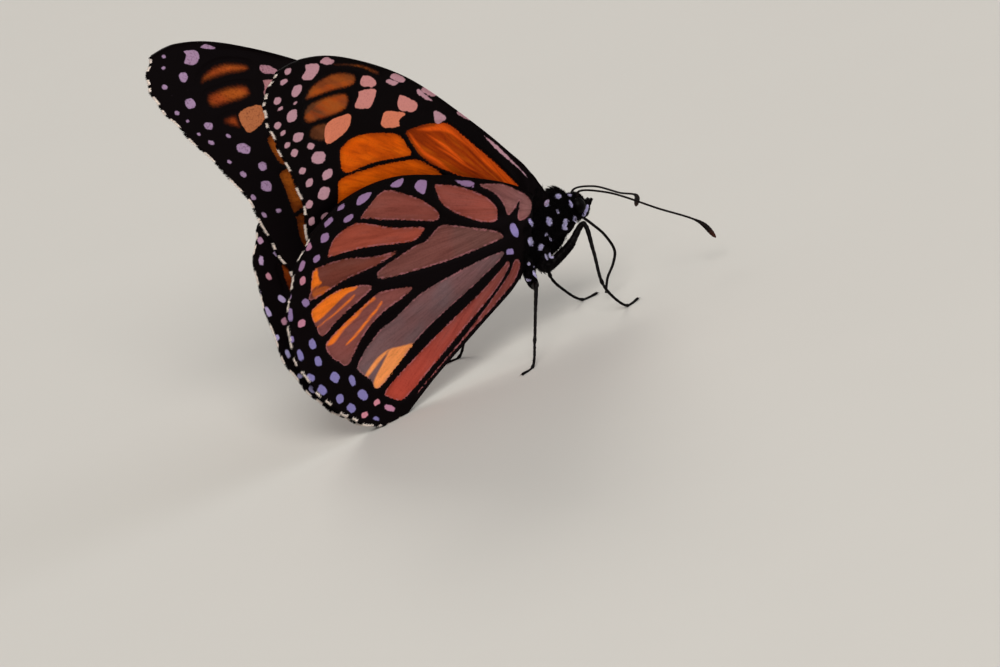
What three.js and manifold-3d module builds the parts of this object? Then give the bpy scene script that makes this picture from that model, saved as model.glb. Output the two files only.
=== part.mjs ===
// Monarch butterfly, life size, standing on its four walking legs and the lower
// edges of its hindwings, with the wings raised and part open.
// Millimetres, +Z up, +X towards the head, +Y towards the butterfly's left.
// Places are given as (along, out, up): along X from the wing hinge, out from the
// middle plane, and up from the hinge line, which is HINGE_HEIGHT above the floor.
import * as THREE from "three";
import { mergeVertices } from "three/addons/utils/BufferGeometryUtils.js";
import Module from "manifold-3d";

const wasm = await Module();
wasm.setup();

const HINGE_HEIGHT = 16.5;
const GAP = 0.15;
const SIDES = { l: 1, r: -1 };

// Each wing is a thin sheet over the middle plane. Four edges bound it, each a
// smooth curve through a few (along, up) places; notches dips the outer margin
// between the vein ends.
const SHEET_HALF = 0.3;
const WING_STEPS = { along: 10, across: 24 };
const NOTCH_DEPTH = 0.22;
const FOREWING = {
  base: [[-2.6, -1.5], [0.0, -1.2], [1.6, -0.8]],
  costa: [[1.6, -0.8], [-0.6, 5.1], [-7.9, 15.1], [-16.3, 25.0], [-25.0, 31.9], [-30.8, 34.5], [-35.0, 34.7]],
  outer: [
    [-33.4, 5.0], [-33.8, 9.2], [-33.7, 16.0], [-36.2, 24.2], [-37.6, 29.3], [-37.2, 32.4], [-35.0, 34.7],
  ],
  inner: [[-2.6, -1.5], [-12.0, 1.6], [-24.0, 2.9], [-33.4, 5.0]],
  notches: 8,
};
const HINDWING = {
  base: [[-4.8, -6.2], [-3.4, -3.2], [-2.0, -0.8], [-0.8, 1.3]],
  costa: [[-0.8, 1.3], [-2.9, 3.5], [-6.7, 6.2], [-13.9, 10.3], [-21.0, 13.3], [-28.1, 13.8], [-33.9, 11.5]],
  outer: [
    [-27.4, -16.8], [-31.0, -16.4], [-34.8, -13.4], [-37.9, -8.6], [-39.5, -2.0], [-37.5, 6.9], [-33.9, 11.5],
  ],
  inner: [[-4.8, -6.2], [-7.6, -8.7], [-13.9, -11.1], [-21.0, -13.8], [-27.4, -16.8]],
  notches: 8,
};

// The forewings open as a V from the hinge line. The hindwings lie just outside
// them, close up below, and swell round the abdomen.
const OPENING_SLOPE = 0.427;
const FOREWING_ROOT = { out: 2.1, fade: 3.0 };
const HINDWING_LIE = { out: 1.3, lowSlope: 0.05, lowOut: 1.55, blend: 0.35 };
const HINDWING_SWELL = { out: 1.9, up: -2.5, reach: 4.5, from: -33, to: -22 };

// The trunk's rounded forms: centre, half sizes, how square their ends are, how
// much they narrow towards the tail, and how far the tail end sinks.
const HEAD = { centre: [5.4, 0, -3.3], half: [1.5, 1.6, 1.8], fullness: 2.2, taper: 0, sink: 0 };
const NECK = { centre: [3.0, 0, -2.7], half: [1.9, 1.9, 2.85], fullness: 2.6, taper: 0, sink: 0 };
const THORAX = { centre: [-1.7, 0, -3.2], half: [5.5, 2.65, 4.35], fullness: 2.3, taper: 0.06, sink: 0.3 };
const ABDOMEN = { centre: [-15.0, 0, -5.1], half: [9.6, 2.0, 2.05], fullness: 2.3, taper: -0.12, sink: 1.4 };
const ABDOMEN_RINGS = { count: 8, depth: 0.05 };
const NECK_CUT = 4.1;
const WAIST_CUT = -6.6;
const EYE = { centre: [5.56, 1.1, -3.3], half: [0.96, 0.93, 1.1] };

// Legs, feelers and mouth parts: places along each one's middle, and radii there.
const MIDLEG = {
  places: [[-1.0, 1.2, -5.8], [-2.2, 1.6, -8.0], [1.2, 2.85, -6.8], [3.7, 4.0, -4.7], [3.2, 5.0, -8.0],
    [2.3, 6.0, -11.8], [3.3, 5.6, -14.3], [5.0, 5.2, -16.3], [7.0, 4.7, -16.3]],
  radii: [0.95, 0.78, 0.56, 0.38, 0.32, 0.3, 0.27, 0.27, 0.27],
};
const HINDLEG = {
  places: [[-4.0, 1.2, -5.8], [-4.6, 1.8, -8.3], [-5.8, 4.3, -8.6], [-6.8, 6.5, -7.9], [-8.5, 7.2, -10.6],
    [-10.4, 8.0, -13.6], [-12.2, 8.5, -16.3], [-14.2, 9.1, -16.3]],
  radii: [0.95, 0.76, 0.52, 0.36, 0.32, 0.3, 0.27, 0.27],
};
const FORELEG = {
  places: [[0.6, 1.9, -4.9], [2.2, 1.95, -5.15], [3.9, 1.55, -4.75]],
  radii: [0.45, 0.38, 0.27],
};
const ANTENNA_L = [
  [5.8, 0.8, -2.5], [6.6, 0.95, -1.8], [10.3, 2.6, -3.1], [15.2, 5.5, -6.5], [18.6, 7.9, -8.7],
  [19.0, 9.6, -10.4],
];
const ANTENNA_R = [
  [5.8, 0.8, -2.5], [6.2, 0.95, -1.7], [9.1, 2.5, -3.0], [13.5, 5.3, -7.0], [17.3, 7.7, -10.6],
  [17.9, 8.9, -12.8],
];
const ANTENNA_SHAFT = 0.27;
const ANTENNA_CLUB = 0.5;
const PROBOSCIS = {
  places: [[5.7, 0, -4.6], [7.0, 0, -6.5], [8.2, 0, -8.6], [8.75, 0, -11.0], [8.0, 0, -12.3], [6.5, 0, -13.7],
    [5.6, 0, -15.3]],
  radii: [0.32, 0.3, 0.28, 0.27, 0.26, 0.26, 0.25],
};
const PALP = {
  places: [[5.7, 0.5, -4.75], [6.35, 0.56, -4.55], [7.0, 0.48, -4.0], [8.1, 0.38, -3.4]],
  radii: [0.38, 0.4, 0.33, 0.25],
};

const COLOURS = {
  body: { color: "#17141a", roughness: 0.9 },
  forewing: { color: "#c0601c", roughness: 0.75 },
  hindwing: { color: "#a8624a", roughness: 0.75 },
  eye: { color: "#0c0a0d", roughness: 0.25 },
  limb: { color: "#141216", roughness: 0.6 },
};

/** A smooth curve through (along, up) places. */
function edge(places) {
  return new THREE.SplineCurve(places.map(([along, up]) => new THREE.Vector2(along, up)));
}

/** How far out the forewing's middle surface stands at a place. */
function forewingOut(along, up) {
  const { out, fade } = FOREWING_ROOT;
  return OPENING_SLOPE * up + out * Math.exp(-Math.max(up, 0) / fade);
}

/** How far out the hindwing's middle surface stands at a place. */
function hindwingOut(along, up) {
  const high = OPENING_SLOPE * up + HINDWING_LIE.out;
  const low = HINDWING_LIE.lowSlope * up + HINDWING_LIE.lowOut;
  const lie = (high + low) / 2 + Math.hypot((high - low) / 2, HINDWING_LIE.blend);
  const { out, up: middle, reach, from, to } = HINDWING_SWELL;
  const swell = out * THREE.MathUtils.smoothstep(along, from, to) * Math.exp(-(((up - middle) / reach) ** 2));
  return lie + swell;
}

/** The outer margin at t, dipped between the vein ends and whole at both corners. */
function notchedMargin(curve, t, notches) {
  const place = curve.getPoint(t);
  const tangent = curve.getTangent(t);
  const dip = NOTCH_DEPTH * (1 - Math.cos(2 * Math.PI * notches * t)) / 2;
  return place.add(new THREE.Vector2(tangent.y, -tangent.x).multiplyScalar(dip));
}

/** The wing's places over the middle plane: a patch filled in between its four edges. */
function wingPlaces(wing) {
  const base = edge(wing.base);
  const costa = edge(wing.costa);
  const inner = edge(wing.inner);
  const outer = edge(wing.outer);
  const corners = [base.getPoint(0), base.getPoint(1), outer.getPoint(0), outer.getPoint(1)];
  const rows = [];
  for (let i = 0; i <= WING_STEPS.along; i++) {
    const s = i / WING_STEPS.along;
    const row = [];
    for (let j = 0; j <= WING_STEPS.across; j++) {
      const t = j / WING_STEPS.across;
      const lower = inner.getPoint(s);
      const upper = costa.getPoint(s);
      const margin = notchedMargin(outer, t, wing.notches);
      const root = base.getPoint(t);
      const lengthwise = lower.multiplyScalar(1 - t).addScaledVector(upper, t);
      const crosswise = root.multiplyScalar(1 - s).addScaledVector(margin, s);
      const flat = corners[0].clone().multiplyScalar((1 - s) * (1 - t))
        .addScaledVector(corners[1], (1 - s) * t)
        .addScaledVector(corners[2], s * (1 - t))
        .addScaledVector(corners[3], s * t);
      row.push(lengthwise.add(crosswise).sub(flat));
    }
    rows.push(row);
  }
  return rows;
}

/** A closed geometry from its corner places and faces. */
function closedGeometry(positions, faces) {
  const geometry = new THREE.BufferGeometry();
  geometry.setAttribute("position", new THREE.Float32BufferAttribute(positions, 3));
  geometry.setIndex(faces);
  return geometry;
}

/** A wing as a sheet of even thickness, kept above the floor so that its lowest edge is a small flat. */
function wingGeometry(wing, outAt, side) {
  const rows = wingPlaces(wing);
  const perRow = WING_STEPS.across + 1;
  const perFace = rows.length * perRow;
  const positions = [];
  for (const offset of [SHEET_HALF, -SHEET_HALF]) {
    for (const { x, y } of rows.flat()) {
      const up = Math.max(y, -HINGE_HEIGHT);
      positions.push(x, side * (outAt(x, y) + offset), up);
    }
  }
  const faces = [];
  const quad = (a, b, c, d) => {
    const loop = side > 0 ? [a, b, c, d] : [d, c, b, a];
    faces.push(loop[0], loop[1], loop[2], loop[0], loop[2], loop[3]);
  };
  const at = (i, j) => i * perRow + j;
  const last = rows.length - 1;
  for (let i = 0; i < last; i++) {
    for (let j = 0; j < perRow - 1; j++) {
      const cell = [at(i, j), at(i + 1, j), at(i + 1, j + 1), at(i, j + 1)];
      quad(...cell);
      quad(...cell.map((corner) => corner + perFace).reverse());
    }
    quad(at(i, 0), at(i, 0) + perFace, at(i + 1, 0) + perFace, at(i + 1, 0));
    const top = perRow - 1;
    quad(at(i, top), at(i + 1, top), at(i + 1, top) + perFace, at(i, top) + perFace);
  }
  for (let j = 0; j < perRow - 1; j++) {
    quad(at(0, j), at(0, j + 1), at(0, j + 1) + perFace, at(0, j) + perFace);
    quad(at(last, j), at(last, j) + perFace, at(last, j + 1) + perFace, at(last, j + 1));
  }
  return closedGeometry(positions, faces);
}

/** A rounded form along X: a ball drawn out, squared at its ends, tapered, ringed and bent down. */
function roundedForm(form, across, along, extra = 0, rings = { count: 0, depth: 0 }) {
  const geometry = new THREE.SphereGeometry(1, across, along);
  geometry.rotateZ(-Math.PI / 2);
  const places = geometry.attributes.position;
  const { fullness, taper = 0, sink = 0 } = form;
  const half = form.half.map((size) => size + extra);
  for (let i = 0; i < places.count; i++) {
    const [x, y, z] = [places.getX(i), places.getY(i), places.getZ(i)];
    const round = Math.sqrt(Math.max(1 - x * x, 1e-9));
    const full = Math.pow(Math.max(1 - Math.pow(Math.abs(x), fullness), 0), 1 / fullness);
    const ring = 1 - rings.depth * Math.pow(Math.cos(Math.PI * rings.count * (x + 1) / 2), 8);
    const swell = (full / round) * (1 - taper * x) * (rings.count ? ring : 1);
    places.setXYZ(i, x * half[0], y * half[1] * swell, z * half[2] * swell - sink * (x * x - x) / 2);
  }
  return geometry.translate(...form.centre);
}

/**
 * A round limb along a smooth curve, its radius eased from place to place. Its end has one side
 * facing down, and what would reach below the floor is a flat on it.
 */
function limbGeometry(places, radii, side, steps, sides = 6) {
  const curve = new THREE.CatmullRomCurve3(places.map(([along, out, up]) =>
    new THREE.Vector3(along, side * out, up)), false, "centripetal");
  const frames = curve.computeFrenetFrames(steps, false);
  const down = new THREE.Vector3(0, 0, -1);
  const turn = Math.atan2(down.dot(frames.binormals[steps]), down.dot(frames.normals[steps]));
  const twist = turn + Math.PI / sides;
  const positions = [];
  for (let i = 0; i <= steps; i++) {
    const place = curve.getPointAt(i / steps);
    const radius = radiusAt(curve, radii, i / steps);
    for (let k = 0; k < sides; k++) {
      const angle = twist + 2 * Math.PI * k / sides;
      const spot = place.clone()
        .addScaledVector(frames.normals[i], radius * Math.cos(angle))
        .addScaledVector(frames.binormals[i], radius * Math.sin(angle));
      positions.push(spot.x, spot.y, Math.max(spot.z, -HINGE_HEIGHT));
    }
  }
  const start = curve.getPointAt(0);
  const end = curve.getPointAt(1);
  positions.push(start.x, start.y, start.z, end.x, end.y, end.z);
  const faces = [];
  const startAt = (steps + 1) * sides;
  for (let k = 0; k < sides; k++) {
    const next = (k + 1) % sides;
    for (let i = 0; i < steps; i++) {
      const [a, b] = [i * sides + k, i * sides + next];
      const [c, d] = [a + sides, b + sides];
      faces.push(a, b, d, a, d, c);
    }
    faces.push(startAt, next, k);
    faces.push(startAt + 1, steps * sides + k, steps * sides + next);
  }
  return closedGeometry(positions, faces);
}

/** The radius at a share of a curve's length, eased between the radii given at its places. */
function radiusAt(curve, radii, share) {
  const slot = curve.getUtoTmapping(share) * (radii.length - 1);
  const low = Math.min(Math.floor(slot), radii.length - 2);
  return THREE.MathUtils.lerp(radii[low], radii[low + 1], slot - low);
}

/** The antenna's radii: a thin shaft that ends in a club. */
function antennaRadii(count) {
  const radii = new Array(count).fill(ANTENNA_SHAFT);
  radii[count - 2] = ANTENNA_CLUB * 0.9;
  radii[count - 1] = ANTENNA_CLUB * 0.8;
  return radii;
}

/** A closed geometry as a solid that can be joined and cut. */
function solid(geometry) {
  const bare = geometry.clone();
  bare.deleteAttribute("normal");
  bare.deleteAttribute("uv");
  const merged = mergeVertices(bare, 1e-5);
  return new wasm.Manifold(new wasm.Mesh({
    numProp: 3,
    vertProperties: new Float32Array(merged.attributes.position.array),
    triVerts: new Uint32Array(merged.index.array),
  }));
}

/** The part of a solid between two places along X. */
function lengthOf(whole, from, to) {
  const reach = 60;
  const block = new THREE.BoxGeometry(to - from, reach, reach).translate((from + to) / 2, 0, 0);
  return whole.intersect(solid(block));
}

/** A solid as a named mesh in its own material. */
function piece(name, shape, { color, roughness }) {
  const { vertProperties, triVerts } = shape.getMesh();
  const geometry = closedGeometry(vertProperties, Array.from(triVerts));
  geometry.computeVertexNormals();
  const mesh = new THREE.Mesh(geometry, new THREE.MeshStandardMaterial({ color, roughness, metalness: 0 }));
  mesh.name = name;
  return mesh;
}

/** Eye ball, or the socket that it sits in when it is made larger. */
function eyeSolid(side, extra) {
  const [along, out, up] = EYE.centre;
  return solid(roundedForm({ centre: [along, side * out, up], half: EYE.half, fullness: 2 }, 12, 9, extra));
}

/** The trunk, in one, cut into head, thorax and abdomen, with the eye sockets cut out. */
function trunk() {
  const head = solid(roundedForm(HEAD, 14, 9));
  const neck = solid(roundedForm(NECK, 14, 8));
  const thorax = solid(roundedForm(THORAX, 20, 14));
  const abdomen = solid(roundedForm(ABDOMEN, 12, 32, 0, ABDOMEN_RINGS));
  const whole = head.add(neck).add(thorax).add(abdomen);
  const sockets = eyeSolid(1, GAP / 2).add(eyeSolid(-1, GAP / 2));
  const far = 40;
  return {
    head: lengthOf(whole, NECK_CUT + GAP / 2, far).subtract(sockets),
    thorax: lengthOf(whole, WAIST_CUT + GAP / 2, NECK_CUT - GAP / 2),
    abdomen: lengthOf(whole, -far, WAIST_CUT - GAP / 2),
  };
}

const { head, thorax, abdomen } = trunk();
const headClear = solid(roundedForm(HEAD, 14, 9, GAP));
const thoraxClear = solid(roundedForm(THORAX, 20, 14, GAP));
const butterfly = new THREE.Group();
butterfly.add(piece("head", head, COLOURS.body));
butterfly.add(piece("thorax", thorax, COLOURS.body));
butterfly.add(piece("abdomen", abdomen, COLOURS.body));
butterfly.add(piece("proboscis", solid(limbGeometry(PROBOSCIS.places, PROBOSCIS.radii, 1, 15))
  .subtract(headClear), COLOURS.limb));
for (const [letter, side] of Object.entries(SIDES)) {
  const limb = ({ places, radii }, steps) => solid(limbGeometry(places, radii, side, steps));
  const feeler = letter === "l" ? ANTENNA_L : ANTENNA_R;
  const antenna = { places: feeler, radii: antennaRadii(feeler.length) };
  const pieces = {
    forewing: [solid(wingGeometry(FOREWING, forewingOut, side)).subtract(thoraxClear), COLOURS.forewing],
    hindwing: [solid(wingGeometry(HINDWING, hindwingOut, side)).subtract(thoraxClear), COLOURS.hindwing],
    eye: [eyeSolid(side, -GAP / 2), COLOURS.eye],
    antenna: [limb(antenna, 19).subtract(headClear), COLOURS.limb],
    palp: [limb(PALP, 8).subtract(headClear), COLOURS.body],
    foreleg: [limb(FORELEG, 8).subtract(thoraxClear), COLOURS.limb],
    midleg: [limb(MIDLEG, 25).subtract(thoraxClear), COLOURS.limb],
    hindleg: [limb(HINDLEG, 24).subtract(thoraxClear), COLOURS.limb],
  };
  for (const [name, [shape, look]] of Object.entries(pieces)) {
    butterfly.add(piece(`${name}_${letter}`, shape, look));
  }
}

// The model's origin is on the floor, under the middle of its box.
const box = new THREE.Box3().setFromObject(butterfly);
butterfly.position.set(-(box.min.x + box.max.x) / 2, 0, HINGE_HEIGHT);
const model = new THREE.Group();
model.add(butterfly);

export default model;
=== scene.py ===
"""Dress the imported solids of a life-size monarch butterfly, standing with its wings part open.

Places are (along, out, up) in millimetres: along X from the wing hinge, out from the middle
plane, and up from the hinge line. Wing markings are (along, up) places on a wing's sheet.
"""
import logging
from dataclasses import dataclass, field
from enum import Enum
from functools import partial

import bpy
import numpy as np
from mathutils import Matrix, Vector


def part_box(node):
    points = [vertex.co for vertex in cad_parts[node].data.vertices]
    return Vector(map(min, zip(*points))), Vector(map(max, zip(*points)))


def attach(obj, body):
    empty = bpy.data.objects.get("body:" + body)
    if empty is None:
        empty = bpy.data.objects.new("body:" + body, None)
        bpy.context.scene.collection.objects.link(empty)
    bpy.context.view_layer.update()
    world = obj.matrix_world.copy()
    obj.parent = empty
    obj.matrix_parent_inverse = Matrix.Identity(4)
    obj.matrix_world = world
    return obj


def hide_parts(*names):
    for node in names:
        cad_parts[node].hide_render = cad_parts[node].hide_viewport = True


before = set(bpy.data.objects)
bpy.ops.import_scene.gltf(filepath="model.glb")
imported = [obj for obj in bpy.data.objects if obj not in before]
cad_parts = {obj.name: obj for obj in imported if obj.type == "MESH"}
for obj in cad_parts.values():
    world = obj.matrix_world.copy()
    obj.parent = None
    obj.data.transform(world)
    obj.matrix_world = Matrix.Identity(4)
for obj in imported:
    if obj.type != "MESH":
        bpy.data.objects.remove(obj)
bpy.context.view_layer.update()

LOG = logging.getLogger("butterfly")
MM = 0.001
HINGE_HEIGHT = 16.5
THORAX_FRONT = 4.025
HINGE = np.array([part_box("thorax")[1][0] / MM - THORAX_FRONT, 0, HINGE_HEIGHT])
SEED = 7
LOCK_PLACES = 7
Array = np.ndarray
Material = bpy.types.Material
Span = tuple[float, float]
Place = tuple[float, float, float]
Outline = tuple[Span, ...]
Course = tuple[Place, ...]


class Side(Enum):
    """The butterfly's two sides, by the letter in the node names and the sign of Y."""

    LEFT = ("l", 1.0)
    RIGHT = ("r", -1.0)

    @property
    def letter(self) -> str:
        """The letter that ends this side's node names."""
        return self.value[0]

    @property
    def sign(self) -> float:
        """The sign of Y on this side."""
        return self.value[1]

    @property
    def mirror(self) -> Array:
        """The factors that carry a place on the left to this side."""
        return np.array([1.0, self.sign, 1.0])


# -------- curves and meshes


def hermite(f: Array, start: Array, end: Array, out_of: Array, into: Array) -> Array:
    """The places, at shares f of the way, on a cubic from start to end with the given slopes."""
    return ((2 * f**3 - 3 * f**2 + 1) * start + (f**3 - 2 * f**2 + f) * out_of
            + (3 * f**2 - 2 * f**3) * end + (f**3 - f**2) * into)


def eased(share: Array) -> Array:
    """Shares from 0 to 1, eased in and out: three squares less two cubes."""
    return share**2 * (3 - 2 * share)


def smooth_curve(places: Array, shares: Array) -> Array:
    """Follow the evenly timed Catmull-Rom curve through some places.

    Args:
        places: the places, one a row.
        shares: how far along, from 0 to 1, with equal time between places.

    Returns:
        One place for each share.
    """
    places = np.asarray(places, float)
    last = len(places) - 1
    slot = np.clip(shares, 0, 1) * last
    low = np.minimum(slot.astype(int), last - 1)
    padded = np.vstack([places[:1], places, places[-1:]])
    before, start, end, after = (padded[low + k] for k in range(4))
    return hermite((slot - low)[:, None], start, end, (end - before) / 2, (after - start) / 2)


def limb_curve(places: Array, count: int, fineness: int = 60) -> tuple[Array, Array]:
    """Follow the centripetal Catmull-Rom curve through some places, at even steps of length.

    Each stretch is timed by the square root of its length, so that tight bends don't loop.

    Args:
        places: the places, one a row.
        count: how many places to give.
        fineness: how many steps measure each stretch's length.

    Returns:
        The places along the curve, and each one's slot between the given places.
    """
    places = np.asarray(places, float)
    last = len(places) - 1
    padded = np.vstack([2 * places[0] - places[1], places, 2 * places[-1] - places[-2]])
    times = np.linspace(0, last, fineness * last + 1)
    low = np.minimum(times.astype(int), last - 1)
    p0, p1, p2, p3 = (padded[low + k] for k in range(4))
    spans = ((p0, p1), (p1, p2), (p2, p3))
    d0, d1, d2 = (np.sqrt(np.linalg.norm(b - a, axis=1))[:, None] for a, b in spans)
    out_of = ((p1 - p0) / d0 - (p2 - p0) / (d0 + d1) + (p2 - p1) / d1) * d1
    into = ((p2 - p1) / d1 - (p3 - p1) / (d1 + d2) + (p3 - p2) / d2) * d1
    dense = hermite((times - low)[:, None], p1, p2, out_of, into)
    length = lengths_along(dense)
    wanted = np.linspace(0, length[-1], count)
    along = np.stack([np.interp(wanted, length, dense[:, k]) for k in range(3)], axis=1)
    return along, np.interp(wanted, length, times)


def tapered_curve(places: Array, radii: tuple[float, ...], count: int) -> tuple[Array, Array, Array]:
    """A limb's middle line: places along it, each one's slot between those given, and its radius."""
    path, slots = limb_curve(places, count)
    return path, slots, np.interp(slots, np.arange(len(radii)), radii)


def lengths_along(path: Array) -> Array:
    """The length of a path up to each of its places."""
    return np.concatenate([[0], np.cumsum(np.linalg.norm(np.diff(path, axis=0), axis=1))])


def unit(vectors: Array) -> Array:
    """Vectors made one long."""
    return vectors / np.maximum(np.linalg.norm(vectors, axis=-1, keepdims=True), 1e-12)


def rings_round(turns: Array, across: Array, over: Array) -> Array:
    """The ways round each of many middles: the turn's cosine across, plus its sine over."""
    return np.cos(turns)[None, :, None] * across[:, None] + np.sin(turns)[None, :, None] * over[:, None]


def grid_quads(rows: int, columns: int, closed: bool = False) -> Array:
    """Number the four-sided faces of a grid of vertices.

    Args:
        rows: how many rows of vertices.
        columns: how many vertices in a row.
        closed: whether each row's end joins its start.

    Returns:
        The corners of each face.
    """
    i = np.arange(rows - 1)[:, None]
    j = np.arange(columns if closed else columns - 1)[None, :]
    k = (j + 1) % columns
    corners = [i * columns + j, i * columns + k, (i + 1) * columns + k, (i + 1) * columns + j]
    return np.stack([np.broadcast_to(c, (rows - 1, j.shape[1])) for c in corners], axis=-1).reshape(-1, 4)


def add_object(name: str, data: bpy.types.ID) -> bpy.types.Object:
    """Add an object to the scene, at the origin.

    Args:
        name: the object's name.
        data: its mesh, light or camera.

    Returns:
        The object.
    """
    thing = bpy.data.objects.new(name, data)
    bpy.context.scene.collection.objects.link(thing)
    return thing


@dataclass
class Surface:
    """A mesh in the making: places in millimetres, faces, its bake map and its markings."""

    name: str
    places: Array
    faces: list[Array]
    map_places: Array | None = None
    corner_map: Array | None = None
    marks: dict[str, Array] = field(default_factory=dict)
    face_finish: Array | None = None

    @property
    def corners(self) -> Array:
        """The vertex at each face corner, face by face."""
        return np.concatenate([f.ravel() for f in self.faces]).astype(np.int32)

    @property
    def corner_spots(self) -> Array:
        """The bake map place of each face corner."""
        return self.map_places[self.corners] if self.corner_map is None else self.corner_map

    def keep_above(self, height: float = 0.0) -> None:
        """Raise the places that are lower than a height over the floor."""
        self.places[:, 2] = np.maximum(self.places[:, 2], height - HINGE_HEIGHT)

    def build(self, finishes: list[Material], nodes: tuple[str, ...], slot: str) -> None:
        """Make the piece, with its place in its mesh, and fasten it to the frame.

        Args:
            finishes: the piece's materials.
            nodes: the solids that the piece stands for.
            slot: the record's material slot; not used.
        """
        mesh = bpy.data.meshes.new(self.name)
        row = (self.places + HINGE) * MM
        mesh.vertices.add(len(row))
        mesh.vertices.foreach_set("co", row.astype(np.float32).ravel())
        sizes = np.concatenate([np.full(len(f), f.shape[1]) for f in self.faces])
        mesh.loops.add(len(self.corners))
        mesh.loops.foreach_set("vertex_index", self.corners)
        mesh.polygons.add(len(sizes))
        starts = np.concatenate([[0], np.cumsum(sizes)[:-1]]).astype(np.int32)
        mesh.polygons.foreach_set("loop_start", starts)
        mesh.update(calc_edges=True)
        mesh.polygons.foreach_set("use_smooth", np.ones(len(sizes), bool))
        if self.face_finish is not None:
            mesh.polygons.foreach_set("material_index", self.face_finish.astype(np.int32))
        for mark, values in self.marks.items():
            layer = mesh.attributes.new(mark, "FLOAT", "POINT")
            layer.data.foreach_set("value", np.asarray(values, np.float32).ravel())
        layer = mesh.uv_layers.new(name="OFBake")
        layer.data.foreach_set("uv", self.corner_spots.astype(np.float32).ravel())
        piece = add_object(self.name, mesh)
        for finish in finishes:
            mesh.materials.append(finish)
        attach(piece, "root")
        if nodes:
            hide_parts(*nodes)
        LOG.info("%s: %d faces", self.name, len(sizes))


def tube_map(rings: int, sides: int) -> Array:
    """Bake map places of a tube's corners: along it one way, round it the other.

    Args:
        rings: how many rings the tube has.
        sides: how many corners each ring has.

    Returns:
        The map place of each face corner, face by face.
    """
    i = np.arange(rings - 1)[:, None]
    j = np.arange(sides)[None, :]
    steps = [(i, j), (i, j + 1), (i + 1, j + 1), (i + 1, j)]
    spots = [np.stack(np.broadcast_arrays(0.01 + 0.98 * a / (rings - 1), 0.02 + 0.96 * b / sides), axis=-1)
             for a, b in steps]
    return np.stack(spots, axis=2).reshape(-1, 2)


def tube(name: str, path: Array, radii: Array, sides: int) -> Surface:
    """Carry a ring along a path, turning it as little as the path allows, and close both ends.

    Args:
        name: the surface's name.
        path: the places along the middle.
        radii: the ring's radius at each place.
        sides: how many corners the ring has.

    Returns:
        The surface, ring by ring, with one ring more at each end.
    """
    tangents = unit(np.gradient(path, axis=0))
    across = np.zeros_like(path)
    helper = np.array([0.0, 1.0, 0.0]) if abs(tangents[0][1]) < 0.9 else np.array([0.0, 0.0, 1.0])
    for i, tangent in enumerate(tangents):
        helper = unit(helper - tangent * (helper @ tangent))
        across[i] = helper
    path, across, over = (np.vstack([a[:1], a, a[-1:]]) for a in (path, across, np.cross(tangents, across)))
    radii = np.concatenate([[1e-4], radii, [1e-4]])
    ring = rings_round(np.linspace(0, 2 * np.pi, sides, endpoint=False), across, over)
    places = (path[:, None] + ring * radii[:, None, None]).reshape(-1, 3)
    return Surface(name, places, [grid_quads(len(path), sides, closed=True)],
                   corner_map=tube_map(len(path), sides))


def locks(name: str, roots: Array, ways: Array, bends: Array, lengths: Array, widths: Array | float,
          spots: Array) -> Surface:
    """Make many tapered locks, each three-sided and closed.

    A lock's middle runs from its root along its way, and strays along its bend by the square of
    the share run. Its width is whole at the root, four fifths past the middle, and none at the
    tip. In the bake map it is a small patch at its root's place.

    Args:
        name: the surface's name.
        roots: where each lock grows.
        ways: which way each lock starts.
        bends: which way each lock bends, as a share of its length.
        lengths: each lock's length.
        widths: each lock's half width.
        spots: the bake map place of each root.

    Returns:
        The surface, with seven places to a lock.
    """
    widths = np.broadcast_to(widths, len(roots))[:, None, None]
    across = unit(np.cross(ways, np.roll(ways, 1, axis=1) + 0.3))
    turns = np.arange(3) * 2 * np.pi / 3
    ring = rings_round(turns, across, np.cross(ways, across))
    half = roots + (ways * 0.55 + bends * 0.3) * lengths[:, None]
    tip = roots + (ways + bends) * lengths[:, None]
    low = roots[:, None] + ring * widths
    mid = half[:, None] + ring * widths * 0.8
    places = np.concatenate([low, mid, tip[:, None]], axis=1).reshape(-1, 3)
    first = np.arange(len(roots))[:, None, None] * LOCK_PLACES
    sides = np.array([[k, (k + 1) % 3, 3 + (k + 1) % 3, 3 + k] for k in range(3)])[None]
    ends = np.array([[3 + k, 3 + (k + 1) % 3, 6] for k in range(3)] + [[0, 2, 1]])[None]
    patch = np.stack([np.cos(turns), np.sin(turns)], axis=1) * 0.0015
    patch = np.concatenate([patch, patch * 0.5, [[0, 0]]])
    return Surface(name, places, [(first + sides).reshape(-1, 4), (first + ends).reshape(-1, 3)],
                   map_places=(spots[:, None] + patch[None]).reshape(-1, 2))


def joined(name: str, parts: list[Surface]) -> Surface:
    """Join surfaces into one, each with its own strip of the bake map.

    Args:
        name: the joined piece's name.
        parts: the surfaces.

    Returns:
        One surface.
    """
    starts = np.concatenate([[0], np.cumsum([len(p.places) for p in parts])])
    faces = [f + start for part, start in zip(parts, starts) for f in part.faces]
    strip = np.array([1, 1 / len(parts)])
    maps = [part.corner_spots * strip + [0, k / len(parts)] for k, part in enumerate(parts)]
    marks = {key: np.concatenate([p.marks[key] for p in parts]) for key in parts[0].marks}
    return Surface(name, np.concatenate([p.places for p in parts]), faces, corner_map=np.concatenate(maps),
                   marks=marks)


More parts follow.
